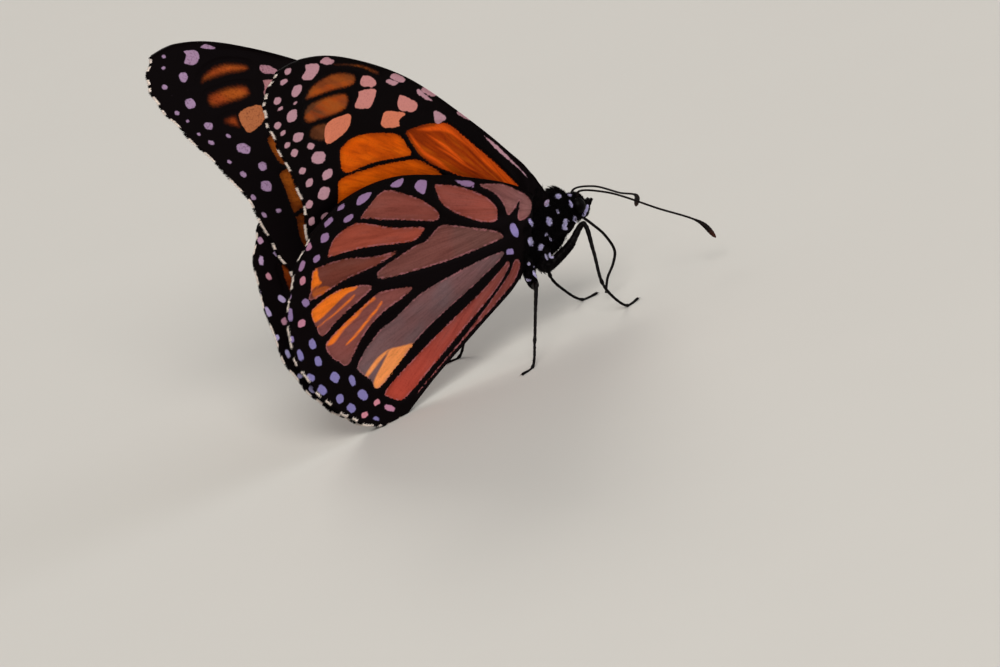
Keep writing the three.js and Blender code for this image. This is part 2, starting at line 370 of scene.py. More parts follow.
def signed_reach(places: Array, outline: Outline, steps: int = 6) -> Array:
    """Measure how far inside a closed outline each place is.

    It is the distance to the smoothed outline's nearest side, positive inside, where a ray
    crosses the sides an odd number of times.

    Args:
        places: flat places, one a row.
        outline: the outline's corners, in order.
        steps: how many straight sides stand for the curve between two corners.

    Returns:
        The reach of each place.
    """
    outline = np.asarray(outline, float)
    ring = np.vstack([outline[-2:], outline, outline[:3]])
    spread = np.linspace(0, 1, steps * (len(ring) - 1) + 1)
    start = smooth_curve(ring, spread)[2 * steps:(2 + len(outline)) * steps]
    end = np.roll(start, -1, axis=0)
    best = np.full(len(places), 1e9)
    inside = np.zeros(len(places), bool)
    for a, b, d in zip(start, end, end - start):
        rel = places - a
        share = np.clip(rel @ d / max(d @ d, 1e-12), 0, 1)
        best = np.minimum(best, np.sum((rel - share[:, None] * d) ** 2, axis=1))
        crosses = (a[1] > places[:, 1]) != (b[1] > places[:, 1])
        rise = b[1] - a[1] if b[1] != a[1] else 1e-9
        inside ^= crosses & (places[:, 0] < a[0] + (places[:, 1] - a[1]) / rise * d[0])
    return np.where(inside, 1, -1) * np.sqrt(best)


# -------- finishes


SMOOTH = {"interpolation_type": "SMOOTHSTEP"}
RAISE = {"operation": "MULTIPLY_ADD"}
FRACTION = {"out": "Fac"}


def colour(code: str) -> tuple[float, float, float, float]:
    """Turn an sRGB hex colour into the linear one that shaders take."""
    parts = [int(code[i:i + 2], 16) / 255 for i in (1, 3, 5)]
    return tuple(c / 12.92 if c <= 0.04045 else ((c + 0.055) / 1.055) ** 2.4 for c in parts) + (1.0,)


def add_node(tree: bpy.types.NodeTree, kind: str, inputs: dict | None = None, out: int | str = 0,
             **settings: object) -> bpy.types.NodeSocket | None:
    """Add a node with its settings and links.

    Args:
        tree: the nodes that it joins.
        kind: the end of the node's type.
        inputs: for each input, a socket to link, or a value or hex colour to set.
        out: which output to hand back.
        settings: the node's own settings.

    Returns:
        The output.
    """
    node = tree.nodes.new(f"ShaderNode{kind}")
    for key, value in settings.items():
        setattr(node, key, value)
    for key, value in (inputs or {}).items():
        if isinstance(value, bpy.types.NodeSocket):
            tree.links.new(value, node.inputs[key])
        else:
            node.inputs[key].default_value = colour(value) if isinstance(value, str) else value
    return node.outputs[out] if node.outputs else None


class Paint:
    """A material in the making, whose nodes end in one plain shader."""

    def __init__(self, name: str) -> None:
        """Start the material, and find the place on the piece in millimetres.

        Args:
            name: the material's name.
        """
        self.material = bpy.data.materials.new(name)
        self.material.use_nodes = True
        tree = self.material.node_tree
        tree.nodes.clear()
        self.add = partial(add_node, tree)
        place = self.add("TexCoord", out="Object")
        self.place = self.add("VectorMath", {0: place, "Scale": 1 / MM}, operation="SCALE")

    def layer(self, ground: object, *layers: tuple) -> bpy.types.NodeSocket:
        """Lay colours over one another.

        Args:
            ground: the lowest colour.
            layers: each one's share, its colour, and how it mixes where it isn't a plain mix.

        Returns:
            The colour on top.
        """
        for share, over, *blend in layers:
            inputs = {0: share, 6: ground, 7: over}
            ground = self.add("Mix", inputs, out=2, data_type="RGBA", blend_type=(*blend, "MIX")[0])
        return ground

    def close(self, base: object, roughness: float, polish: float = 0.5, **bump: object) -> Material:
        """End in the plain shader.

        Args:
            base: its colour.
            roughness: its roughness.
            polish: its specular level.
            bump: its bump's height and strength, and its distance in metres, where there is one.

        Returns:
            The material.
        """
        inputs = {"Base Color": base, "Roughness": roughness, "Specular IOR Level": polish}
        if bump:
            inputs["Normal"] = self.add("Bump", {key.capitalize(): value for key, value in bump.items()})
        self.add("OutputMaterial", {"Surface": self.add("BsdfPrincipled", inputs)})
        return self.material


@dataclass(frozen=True)
class WingFinish:
    """Butterfly wing: a dry membrane shingled with rows of dust-like scales.

    Scales are matt. Each cell between the veins has its own colour, its edges ragged by a scale or two, and
    veins and borders are velvety black. Light coming through the membrane is painted in as bright patches,
    the painted backlight.
    """

    name: str
    cells: tuple[str, ...]
    cloud: str
    glow: str
    # The pale spots' colour: white on the real wing, painted grey-lavender as painted shade.
    pale_spot_in_shade: str
    warm_spot: str
    black: str = "#050102"
    rim: str = "#c08088"
    rim_share: float = 0.0
    cloud_share: float = 0.5
    glow_share: float = 0.5
    streak_share: float = 0.5
    speck_share: float = 0.25
    # Painted backlight: the colour, the paler colour and the strength of light coming through the wing,
    # painted in.
    flush: str = "#ff8020"
    flush_pale: str = "#ff9e57"
    flush_share: float = 0.0
    cell_shrink: float = 0.0
    spot_shrink: float = 0.0
    dull_shrink: float = 0.0
    dull_soft: float = 0.0
    edge_shade: float = 0.0
    border: float = 0.0

    def build(self) -> Material:
        """Make the material from the markings on the wing's mesh.

        Returns:
            The material.
        """
        paint = Paint(self.name)
        add = paint.add
        names = ("cell", "tone", "spot", "tint", "flush", "vein", "margin", "ray", "reach")
        marks = {name: add("Attribute", attribute_name=name, **FRACTION) for name in names}
        ray = add("CombineXYZ", {"X": marks["ray"], "Y": marks["reach"]})
        # Each pattern's place, its lumps to a millimetre each way, and its detail. Rows of scales
        # are 0.1 mm apart, drawn at 0.25 mm so that they show.
        patterns = {
            "scales": (paint.place, (4.0, 4.0, 4.0), 3.0),
            "lumps": (paint.place, (1.3, 1.3, 1.3), 1.0),
            "clouds": (paint.place, (0.16, 0.16, 0.16), 2.0),
            "streaks": (ray, (3.2, 0.3, 1.0), 4.0),
            "bands": (ray, (0.9, 0.12, 1.0), 2.0),
            "fray": (ray, (9.0, 2.2, 1.0), 2.0),
        }
        noise = {}
        for name, (vector, stretch, detail) in patterns.items():
            moved = add("Mapping", {"Vector": vector, "Scale": stretch})
            noise[name] = add("TexNoise", {"Vector": moved, "Scale": 1.0, "Detail": detail}, **FRACTION)
        ragged = add("Math", {0: noise["fray"], 1: 0.44, 2: -0.36}, **RAISE)
        ragged = add("Math", {0: noise["scales"], 1: 0.28, 2: ragged}, **RAISE)
        fall = {"Value": marks["tone"], "From Max": 0.5, "To Min": 1.0, "To Max": 0.0}
        dull = add("MapRange", fall, **SMOOTH)
        shrink = add("Math", {0: dull, 1: self.dull_shrink, 2: self.cell_shrink}, **RAISE)
        inside = add("Math", {0: marks["cell"], 1: shrink}, operation="SUBTRACT")
        if self.border:
            clear = add("Math", {0: marks["margin"], 1: self.border}, operation="SUBTRACT")
            inside = add("Math", {0: inside, 1: clear}, operation="MINIMUM")
        reach = add("Math", {0: inside, 1: ragged}, operation="ADD")

        # Painted backlight: light coming through the wing, painted in as bright colour streaked along the
        # rays.
        lit = add("Math", {0: noise["streaks"], 1: 0.5, 2: -0.25}, **RAISE)
        lit = add("Math", {0: lit, 1: marks["flush"]}, operation="ADD")
        masks = {
            "pale": (marks["tone"], 5.5, 6.5, 1.0),
            "cloud": (noise["clouds"], 0.4, 0.62, self.cloud_share),
            "glow": (noise["bands"], 0.45, 0.7, self.glow_share),
            "dim": (noise["bands"], 0.52, 0.3, self.streak_share * 0.9),
            "streak": (noise["streaks"], 0.42, 0.72, self.streak_share),
            "speck": (noise["scales"], 0.45, 0.75, self.speck_share),
            "shade": (reach, 0.75, 0.0, self.edge_shade),
            "rim": (reach, 0.26, 0.08, self.rim_share),
            "gate": (noise["lumps"], 0.4, 0.58, 1.0),
            "lit": (lit, 0.4, 0.95, self.flush_share),
        }
        mask = {}
        for name, (value, start, end, share) in masks.items():
            span = {"Value": value, "From Min": start, "From Max": end, "To Max": share}
            mask[name] = add("MapRange", span, **SMOOTH)
        ground = self.cells[0]
        for number, code in enumerate(self.cells[1:]):
            span = {"Value": marks["tone"], "From Min": float(number), "From Max": number + 1.0}
            ground = paint.layer(ground, (add("MapRange", span), code))
        patchy = add("Math", {0: mask["rim"], 1: mask["gate"]}, operation="MULTIPLY")
        flush = paint.layer(self.flush, (mask["pale"], self.flush_pale))
        ground = paint.layer(
            ground,
            (mask["cloud"], self.cloud),
            (mask["glow"], self.glow),
            (mask["lit"], flush),
            (mask["dim"], "#a09490", "MULTIPLY"),
            (mask["streak"], "#b4a29c", "MULTIPLY"),
            (mask["speck"], "#b8aaa6", "MULTIPLY"),
            (mask["shade"], "#402018", "MULTIPLY"),
            (patchy, self.rim),
        )
        soft = add("Math", {0: dull, 1: self.dull_soft, 2: 0.05}, **RAISE)
        edge = add("MapRange", {"Value": reach, "From Min": -0.05, "From Max": soft}, **SMOOTH)
        spot = add("Math", {0: marks["spot"], 1: self.spot_shrink}, operation="SUBTRACT")
        spot = add("Math", {0: ragged, 1: 0.4, 2: spot}, **RAISE)
        spot = add("Math", {0: noise["lumps"], 1: 0.24, 2: spot}, **RAISE)
        spot = add("MapRange", {"Value": spot, "From Min": 0.07, "From Max": 0.19}, **SMOOTH)
        # Pale spots, painted grey-lavender as painted shade, warmed by their tint.
        pale = paint.layer(self.pale_spot_in_shade, (marks["tint"], self.warm_spot),
                           (mask["speck"], "#b4a4ac", "MULTIPLY"))
        base = paint.layer(self.black, (edge, ground), (spot, pale))

        height = add("Math", {0: noise["scales"], 1: 0.14, 2: 0.0}, **RAISE)
        height = add("Math", {0: noise["streaks"], 1: 0.3, 2: height}, **RAISE)
        height = add("Math", {0: marks["vein"], 1: 0.8, 2: height}, **RAISE)
        return paint.close(base, 0.75, 0.05, height=height, strength=0.6, distance=0.15 * MM)


@dataclass(frozen=True)
class HairFinish:
    """Insect hair and scales: dark chitin, matt along the body, with tufts of white scales."""

    name: str
    dark: str
    warm: str
    pale: str
    roughness: float = 0.8

    def build(self) -> Material:
        """Make the material: dark hair, with the spots that the mesh carries.

        Returns:
            The material.
        """
        paint = Paint(self.name)
        add = paint.add
        # Hairs are about 0.02 mm wide, drawn in clumps of 0.15 mm so that they show.
        clumps = add("TexNoise", {"Vector": paint.place, "Scale": 6.0, "Detail": 3.0}, **FRACTION)
        mark = add("Attribute", attribute_name="spot", **FRACTION)
        spot = add("Math", {0: clumps, 1: 0.16, 2: mark}, **RAISE)
        spot = add("MapRange", {"Value": spot, "From Min": 0.05, "From Max": 0.12}, **SMOOTH)
        span = {"Value": clumps, "From Min": 0.42, "From Max": 0.75, "To Max": 0.8}
        worn = add("MapRange", span, **SMOOTH)
        pale = paint.layer(self.pale, (worn, "#d2cad4", "MULTIPLY"))
        base = paint.layer(self.dark, (worn, self.warm), (spot, pale))
        return paint.close(base, self.roughness, 0.06, height=clumps, strength=0.5, distance=0.08 * MM)


@dataclass(frozen=True)
class ShellFinish:
    """Insect shell: black chitin with a low polish, ringed or pitted, and lighter where the mesh marks it:
    at a feeler's tip, partly its own brown and partly a painted highlight.
    """

    name: str
    dark: str
    light: str
    roughness: float = 0.5
    grain: float = 5.0
    mottle: float = 0.5

    def build(self) -> Material:
        """Make the material: a dark shell mottled by a fine grain.

        Returns:
            The material.
        """
        paint = Paint(self.name)
        add = paint.add
        # Pits are about 0.02 mm wide, drawn at 0.2 mm so that they show.
        pits = add("TexNoise", {"Vector": paint.place, "Scale": self.grain, "Detail": 3.0}, **FRACTION)
        # Lighter where the mesh marks it: on a feeler's tip, partly its own brown and partly a painted
        # highlight.
        thin = add("Attribute", attribute_name="light", **FRACTION)
        span = {"Value": pits, "From Min": 0.4, "From Max": 0.75, "To Max": self.mottle}
        mottle = add("MapRange", span, **SMOOTH)
        base = paint.layer(self.dark, (mottle, self.light), (thin, self.light))
        return paint.close(base, self.roughness, 0.07, height=pits, strength=0.4, distance=0.05 * MM)


@dataclass(frozen=True)
class EyeFinish:
    """Compound eye: a dark, softly polished dome of many tiny six-sided lenses."""

    name: str
    dark: str
    light: str

    def build(self) -> Material:
        """Make the material: lenses 0.03 mm across, drawn at 0.09 mm so that they show.

        Returns:
            The material.
        """
        paint = Paint(self.name)
        add = paint.add
        lens = add("TexVoronoi", {"Vector": paint.place, "Scale": 11.0, "Randomness": 0.35}, out="Distance")
        dome = add("MapRange", {"Value": lens, "From Min": 0.6, "From Max": 0.0}, **SMOOTH)
        half = add("Math", {0: dome, 1: 0.5}, operation="MULTIPLY")
        base = paint.layer(self.dark, (half, self.light))
        return paint.close(base, 0.4, 0.04, height=dome, strength=0.35, distance=0.03 * MM)


@dataclass(frozen=True)
class FloorFinish:
    """Seamless studio floor: pale matt paper."""

    name: str = "studio_paper"
    tint: str = "#c6c4bf"

    def build(self) -> Material:
        """Make the material: even paper with the slightest tooth.

        Returns:
            The material.
        """
        paint = Paint(self.name)
        tooth = paint.add("TexNoise", {"Vector": paint.place, "Scale": 0.05}, **FRACTION)
        share = paint.add("Math", {0: tooth, 1: 0.06}, operation="MULTIPLY")
        base = paint.layer(self.tint, (share, "#a8a8a8"))
        return paint.close(base, 0.9)


# -------- wings


class Pair(Enum):
    """The two pairs of wings, by their name in the nodes and slots."""

    FORE = "forewing"
    HIND = "hindwing"


@dataclass(frozen=True)
class Cell:
    """A coloured cell between veins.

    It has its tone in its wing's list of colours, an outline, and how far the tone falls to the root.
    """

    tone: float
    outline: Outline
    fade: float = 0.0


@dataclass(frozen=True)
class Spot:
    """A pale, squarish oval: its middle, half length, half width, tilt in degrees, and how warm it is."""

    along: float
    up: float
    long: float
    wide: float
    tilt: float = 0.0
    warm: float = 0.0

    def reach(self, flat: Array, squareness: float = 2.7) -> Array:
        """Measure how far inside the oval each place is.

        Args:
            flat: (along, up) places.
            squareness: the power that joins the two half sizes, 2 for an ellipse.

        Returns:
            The reach, positive inside.
        """
        turn = np.radians(self.tilt)
        along, up = flat[:, 0] - self.along, flat[:, 1] - self.up
        x = along * np.cos(turn) + up * np.sin(turn)
        y = up * np.cos(turn) - along * np.sin(turn)
        total = np.abs(x / self.long) ** squareness + np.abs(y / self.wide) ** squareness
        return (1 - total ** (1 / squareness)) * min(self.long, self.wide)


@dataclass(frozen=True)
class Patch:
    """A pale or lit patch with corners: how warm it is, and its outline."""

    warm: float
    outline: Outline

    def reach(self, flat: Array) -> Array:
        """How far inside the outline each place is, in millimetres."""
        return signed_reach(flat, self.outline)


@dataclass(frozen=True)
class WingPlan:
    """A wing's four edges on the middle plane, how its sheet lies, its markings and its steps."""

    pair: Pair
    base: Outline
    costa: Outline
    outer: Outline
    inner: Outline
    cells: tuple[Cell, ...]
    spots: tuple[Spot | Patch, ...]
    # Patches of painted backlight, where light comes through the wing.
    flushes: tuple[Patch, ...]
    curl: float
    notches: int = 8
    notch_depth: float = 0.22
    steps: tuple[int, int] = (250, 180)
    # The slope that the wings open to, and how the forewing is eased out at its root.
    opening: float = 0.427
    root_out: float = 2.1
    root_fade: float = 3.0
    # How the hindwing lies: outside the forewing above, close in below, and swollen over the abdomen.
    upper_out: float = 1.3
    lower_slope: float = 0.05
    lower_out: float = 1.55
    blend: float = 0.35
    swell: float = 1.9
    swell_middle: Span = (-33.0, -2.5)
    swell_reach: Span = (11.0, 4.5)
    # Markings: where the rays start, the distance from base to margin, and a vein's half width.
    root: Span = (-1.0, -0.5)
    span: float = 35.0
    vein_half: float = 0.4
    # How soft the painted backlight's edges are.
    flush_edge: float = 0.6

    def flat(self, s: Array, t: Array) -> Array:
        """Fill in the wing's plan between its edges.

        It is the even mix of the inner edge and the costa, plus that of the base and the outer
        margin, less that of the four corners. The margin dips between the vein ends.

        Args:
            s: shares from the base to the margin.
            t: shares from the inner edge to the costa.

        Returns:
            The (along, up) places.
        """
        nudge = 0.003
        base, outer = smooth_curve(self.base, t), smooth_curve(self.outer, t)
        inner, costa = smooth_curve(self.inner, s), smooth_curve(self.costa, s)
        tangent = unit(smooth_curve(self.outer, t + nudge) - smooth_curve(self.outer, t - nudge))
        s, t = s[:, None], t[:, None]
        dip = self.notch_depth * (1 - np.cos(2 * np.pi * self.notches * t)) / 2
        outer = outer + tangent[:, ::-1] * [1, -1] * dip
        corners = np.array([self.base[0], self.base[-1], self.outer[0], self.outer[-1]], float)
        mixed = (corners[0] * (1 - s) * (1 - t) + corners[1] * (1 - s) * t
                 + corners[2] * s * (1 - t) + corners[3] * s * t)
        return inner * (1 - t) + costa * t + base * (1 - s) + outer * s - mixed

    def out(self, flat: Array) -> Array:
        """Measure how far out the wing's middle surface stands.

        The forewing opens as a V from the hinge line, eased out at its root. The hindwing is the
        smooth maximum of an upper and a lower slope, plus a swell round the abdomen.

        Args:
            flat: the (along, up) places.

        Returns:
            The distances from the middle plane.
        """
        along, up = flat.T
        if self.pair is Pair.FORE:
            return self.opening * up + self.root_out * np.exp(-np.maximum(up, 0) / self.root_fade)
        high, low = self.opening * up + self.upper_out, self.lower_slope * up + self.lower_out
        share = np.clip((along - self.swell_middle[0]) / self.swell_reach[0], 0, 1)
        fall = np.exp(-(((up - self.swell_middle[1]) / self.swell_reach[1]) ** 2))
        return (high + low) / 2 + np.hypot((high - low) / 2, self.blend) + self.swell * eased(share) * fall

    def spot_reach(self, flat: Array) -> tuple[Array, Array]:
        """Find the nearest pale spot of each place.

        Args:
            flat: the (along, up) places.

        Returns:
            How far inside the spot each place is, and how warm that spot is.
        """
        reaches = np.stack([spot.reach(flat) for spot in self.spots])
        warm = np.array([spot.warm for spot in self.spots])
        return np.max(reaches, axis=0), warm[np.argmax(reaches, axis=0)]

    def cell_reaches(self, flat: Array) -> Array:
        """How far inside each cell each place is, one row a cell."""
        return np.stack([signed_reach(flat, cell.outline) for cell in self.cells])

    def rays(self, flat: Array) -> tuple[Array, Array]:
        """The angle round the root at each place, and its distance from the root."""
        away = flat - self.root
        return np.arctan2(away[:, 1], -away[:, 0]), np.hypot(away[:, 0], away[:, 1])

    def markings(self, flat: Array, s: Array) -> dict[str, Array]:
        """Work out the markings at places of the plan.

        Args:
            flat: the (along, up) places.
            s: their shares from the base to the margin.

        Returns:
            The value of each marking at each place.
        """
        reaches = self.cell_reaches(flat)
        first, cell = np.argmax(reaches, axis=0), np.max(reaches, axis=0)
        tone, fade = (np.array(row)[first] for row in zip(*((c.tone, c.fade) for c in self.cells)))
        spot, warm = self.spot_reach(flat)
        # The painted backlight's strength: light coming through the wing, painted in as colour.
        flush = np.max([lit.warm * np.clip(lit.reach(flat) / self.flush_edge + 0.5, 0, 1)
                        for lit in self.flushes], axis=0)
        margin = (1 - s) * self.span
        angle, reach = self.rays(flat)
        return {
            "cell": cell,
            "tone": tone - fade * (1 - s),
            "spot": spot,
            "tint": np.maximum(warm, np.clip((flat[:, 1] + 3) / 30, 0, 0.3)),
            "flush": flush,
            "vein": np.clip(-cell / self.vein_half, 0, 1) * np.clip(margin / 5, 0.25, 1),
            "margin": margin,
            "ray": angle * 20,
            "reach": reach,
        }


@dataclass
class Wing:
    """A wing: a thin sheet with thickened veins, a fringe, and hair on its root."""

    plan: WingPlan
    half_thickness: float = 0.09
    vein_height: float = 0.07
    costa_half: float = 0.16
    costa_width: float = 0.018
    root_half: float = 0.2
    pucker: float = 0.12
    puckers: float = 17.0
    fringe_depth: float = 0.4
    fringe_share: float = 1 / 90
    fringe_count: int = 1836
    fringe_rows: int = 3
    fringe_lengths: Span = (0.84, 1.02)
    fringe_width: float = 0.04
    fringe_stray: float = 0.08
    # How much longer, farther in and farther out each row's blades are than the last row's.
    row_longer: float = 0.09
    row_in: float = 0.0035
    row_out: float = 0.05
    dashes: float = 15.0
    dash_noise: float = 0.1
    hair_count: int = 1300
    hair_reach: float = 0.085
    hair_lengths: Span = (0.45, 0.95)
    hair_widths: Span = (0.035, 0.055)
    hair_stray: float = 0.18
    hair_lift: float = 0.3
    hair_off: float = 0.15
    step: float = 0.01

    def __post_init__(self) -> None:
        """Lay out the grid and work out its markings, which both sides share."""
        rows, columns = self.plan.steps
        self.s = np.repeat(np.linspace(0, 1 - self.fringe_share, rows), columns)
        self.t = np.tile(np.linspace(0, 1, columns), rows)
        self.flat = self.plan.flat(self.s, self.t)
        self.marks = self.plan.markings(self.flat, self.s)

    def piece_name(self, part: str, side: Side) -> str:
        """The name of one of the wing's pieces."""
        return f"{self.plan.pair.value}_{part}_{side.letter}"

    def lie(self, flat: Array, s: Array) -> Array:
        """Measure how far out the sheet stands, with its root curled in and its membrane puckered.

        Args:
            flat: the (along, up) places.
            s: their shares from the base to the margin.

        Returns:
            The distances from the middle plane.
        """
        curl = self.plan.curl * np.clip(1 - s / 0.05, 0, 1) ** 2
        angle, _ = self.plan.rays(flat)
        pucker = self.pucker * np.sin(angle * self.puckers) * np.sin(np.pi * np.clip(s, 0, 1)) ** 0.7
        return self.plan.out(flat) - curl + pucker

    def sheet(self, side: Side, finishes: list[Material]) -> None:
        """Build the sheet: two grids a thickness apart, joined round their edges.

        It is thicker at the veins, the costa and the root, and thins out at the margin. In the
        bake map each face takes one half.

        Args:
            side: which side of the body.
            finishes: the outer and inner faces' materials.
        """
        rows, columns = self.plan.steps
        out = self.lie(self.flat, self.s)
        costa = np.exp(-(((1 - self.t) / self.costa_width) ** 2))
        half = (self.half_thickness + self.costa_half * costa + self.vein_height * self.marks["vein"]
                + self.root_half * np.exp(-self.s * 20)) * np.clip((1 - self.s) * 30 + 0.3, 0, 1)
        up = np.maximum(self.flat[:, 1], self.half_thickness - HINGE_HEIGHT)
        layers = [np.stack([self.flat[:, 0], side.sign * (out + gap), up], axis=1) for gap in (half, -half)]
        count = rows * columns
        outer = grid_quads(rows, columns)
        grid = np.arange(count).reshape(rows, columns)
        loop = np.concatenate([grid[0, :-1], grid[:-1, -1], grid[-1, :0:-1], grid[:0:-1, 0]])
        after = np.roll(loop, -1)
        rim = np.stack([after, loop, loop + count, after + count], axis=1)
        spread = np.stack([0.01 + 0.48 * self.t, 0.01 + 0.98 * self.s], axis=1)
        off = spread - [0.25, 0.5]
        away = spread + np.sign(off) * 0.004 * (np.abs(off) > [0.2399, 0.4799])
        faces = [outer, outer[:, ::-1] + count, rim]
        maps = [spread[outer], spread[outer[:, ::-1]] + [0.5, 0],
                np.stack([spread[after], spread[loop], away[loop], away[after]], axis=1)]
        turn = -1 if side is Side.LEFT else 1
        Surface(
            self.piece_name("sheet", side), np.concatenate(layers), [f[:, ::turn] for f in faces],
            corner_map=np.concatenate([m[:, ::turn].reshape(-1, 2) for m in maps]),
            marks={key: np.tile(values, 2) for key, values in self.marks.items()},
            face_finish=np.concatenate([np.zeros(len(outer)), np.ones(len(outer)), np.zeros(len(rim))]),
        ).build(finishes, (f"{self.plan.pair.value}_{side.letter}",), self.plan.pair.value)

    def combed(self, side: Side, s: Array, t: Array, lift: Array | float) -> tuple[Array, Array]:
        """Find places on the sheet, and the way from each one towards the margin.

        Args:
            side: which side of the body.
            s: their shares from the base to the margin.
            t: their shares from the inner edge to the costa.
            lift: how far outside the middle surface they stand.

        Returns:
            The places and the ways.
        """
        flat, ahead = self.plan.flat(s, t), self.plan.flat(s + self.step, t)
        out, far = self.lie(flat, s), self.lie(ahead, s + self.step)
        places = np.column_stack([flat[:, 0], side.sign * (out + lift), flat[:, 1]])
        step = ahead - flat
        return places, unit(np.column_stack([step[:, 0], side.sign * (far - out), step[:, 1]]))

    def fringe(self, side: Side, finish: Material) -> None:
        """Build the fringe: rows of short blades out from the margin, in pale dashes.

        Args:
            side: which side of the body.
            finish: the blades' material.
        """
        draw = np.random.default_rng(SEED)
        count = self.fringe_count
        t = np.sort(draw.uniform(0.004, 0.996, count))
        row = draw.integers(0, self.fringe_rows, count)
        s = 1 - self.fringe_share - row * self.row_in - 0.002
        roots, ways = self.combed(side, s, t, (row - 1) * self.row_out)
        jitter = draw.normal(0, self.fringe_stray, (count, 3))
        ways = unit(ways + jitter)
        # The blades keep above the floor, and turn level where they reach it.
        roots[:, 2] = np.maximum(roots[:, 2], 0.12 - HINGE_HEIGHT)
        low = roots[:, 2] < 0.5 - HINGE_HEIGHT
        ways[:, 2] = np.where(low, np.maximum(ways[:, 2], -0.1), ways[:, 2])
        lengths = draw.uniform(*self.fringe_lengths, count) * (self.fringe_depth + row * self.row_longer)
        dash = 0.1 - np.cos(2 * np.pi * self.dashes * t + np.sin(40 * t))
        dash = dash + draw.normal(0, self.dash_noise, count)
        spots = np.stack([0.02 + 0.96 * t, 0.1 + 0.35 * row + draw.uniform(-0.1, 0.1, count)], axis=1)
        blades = locks(self.piece_name("fringe", side), roots, ways, jitter[:, ::-1] * 0.5, lengths,
                       self.fringe_width, np.clip(spots, 0.005, 0.995))
        blades.keep_above(0.02)
        blades.marks["spot"] = np.repeat(dash * 0.3, LOCK_PLACES)
        blades.build([finish], (), self.plan.pair.value)

    def root_hair(self, side: Side, finish: Material) -> None:
        """Build the hair on the outer face of the root, combed away from the body.

        Args:
            side: which side of the body.
            finish: the hair's material.
        """
        draw = np.random.default_rng(SEED + 1)
        count = self.hair_count
        s = self.hair_reach * draw.uniform(0, 1, count) ** 1.4
        t = draw.uniform(0.0, 1.0, count)
        roots, ways = self.combed(side, s, t, self.hair_off)
        stray = draw.normal(0, self.hair_stray, (count, 3))
        ways = unit(ways + [0, side.sign * self.hair_lift, 0] + stray)
        lengths = draw.uniform(*self.hair_lengths, count)
        widths = draw.uniform(*self.hair_widths, count)
        # The hair keeps to the black of the root, and its tips stop short of the cells.
        room = -np.max(self.plan.cell_reaches(roots[:, ::2]), axis=0) - 0.1
        lengths = np.minimum(lengths, room)
        kept = lengths > 0.25
        bends = np.tile([0, -0.25 * side.sign, 0], (np.count_nonzero(kept), 1))
        spots = np.stack([0.01 + 0.98 * t, 0.01 + 11 * s], axis=1)
        coat = locks(self.piece_name("root_hair", side), roots[kept], ways[kept], bends, lengths[kept],
                     widths[kept], spots[kept])
        coat.marks["spot"], _ = self.plan.spot_reach(coat.places[:, ::2])
        coat.build([finish], (), "fur")


HINDWING_CELLS = tuple(Cell(*row) for row in (
    (3, ((-8.2, 6.2), (-6.6, 5.6), (-4.6, 4.5), (-2.8, 2.8), (-2.0, 1.7), (-1.75, 0.5), (-2.8, -0.5),
         (-3.9, -0.65), (-4.35, -0.2), (-3.8, 0.5), (-3.15, 1.6), (-4.0, 1.15), (-5.3, 0.75), (-5.5, 2.7),
         (-6.4, 4.3))),
    (2, ((-14.7, 9.2), (-13.8, 8.9), (-11.5, 7.6), (-9.2, 5.8), (-7.4, 4.0), (-6.6, 2.4), (-6.7, 1.3),
         (-7.3, 0.8), (-9.0, 1.5), (-11.0, 3.1), (-12.9, 4.9), (-14.2, 6.7))),
    (1, ((-26.2, 10.2), (-25.1, 11.1), (-22.4, 12.2), (-19.5, 10.4), (-17.2, 8.5), (-15.6, 6.7),
         (-14.8, 5.4), (-14.9, 4.7), (-16.0, 4.9), (-20.6, 7.3), (-22.9, 8.4), (-25.1, 9.7))),
    (0, ((-31.6, 7.5), (-31.2, 8.4), (-30.2, 9.5), (-27.4, 9.95), (-25.1, 8.9), (-21.7, 6.7), (-17.4, 4.7),
         (-17.6, 4.0), (-18.8, 3.6), (-20.4, 4.0), (-26.2, 6.1), (-30.8, 7.2))),
    (4, ((-34.9, 2.95), (-34.75, 4.3), (-34.4, 5.7), (-33.7, 6.7), (-29.6, 6.1), (-25.1, 4.3), (-21.7, 3.4),
         (-25.1, 3.1), (-29.6, 3.3))),
    (5, ((-35.0, -0.7), (-35.2, 0.9), (-34.75, 1.8), (-31.2, 2.4), (-27.4, 1.5), (-26.6, 0.6), (-30.1, -0.6),
         (-31.9, -1.25), (-34.5, -2.2))),
    (5, ((-34.4, -3.4), (-31.6, -2.2), (-29.0, -1.3), (-26.8, -0.5), (-25.1, -0.35), (-21.6, -1.5),
         (-23.1, -2.1), (-25.5, -2.6), (-27.4, -3.35), (-29.5, -4.7), (-32.4, -7.05), (-33.5, -6.1),
         (-34.2, -5.2))),
    (6, ((-25.25, 1.8), (-24.4, 2.4), (-19.5, 2.9), (-17.4, 2.8), (-15.1, 3.6), (-13.8, 3.3), (-10.4, 1.3),
         (-8.1, -0.1), (-7.2, -1.1), (-8.1, -1.45), (-14.9, -0.8), (-21.7, 0.45), (-24.9, 1.25))),
    (7, ((-30.1, -10.2), (-31.2, -8.6), (-31.0, -7.5), (-27.4, -5.0), (-25.1, -4.3), (-20.6, -2.8),
         (-12.6, -2.6), (-8.5, -2.9), (-8.1, -3.6), (-11.5, -4.9), (-20.6, -7.6), (-25.1, -9.8),
         (-29.4, -11.7))),
    (9, ((-28.7, -12.6), (-25.1, -11.1), (-19.5, -9.2), (-12.6, -7.0), (-8.5, -5.1), (-7.5, -4.6),
         (-7.6, -5.5), (-10.4, -7.7), (-17.2, -10.8), (-25.1, -14.1), (-26.9, -14.5), (-28.0, -13.75)), 1.3),
    (8.15, ((-6.6, -5.0), (-5.8, -5.3), (-5.8, -6.2), (-7.0, -7.7), (-10.4, -9.3), (-14.9, -10.9),
            (-24.5, -14.7), (-14.9, -10.6), (-8.1, -6.8))),
))
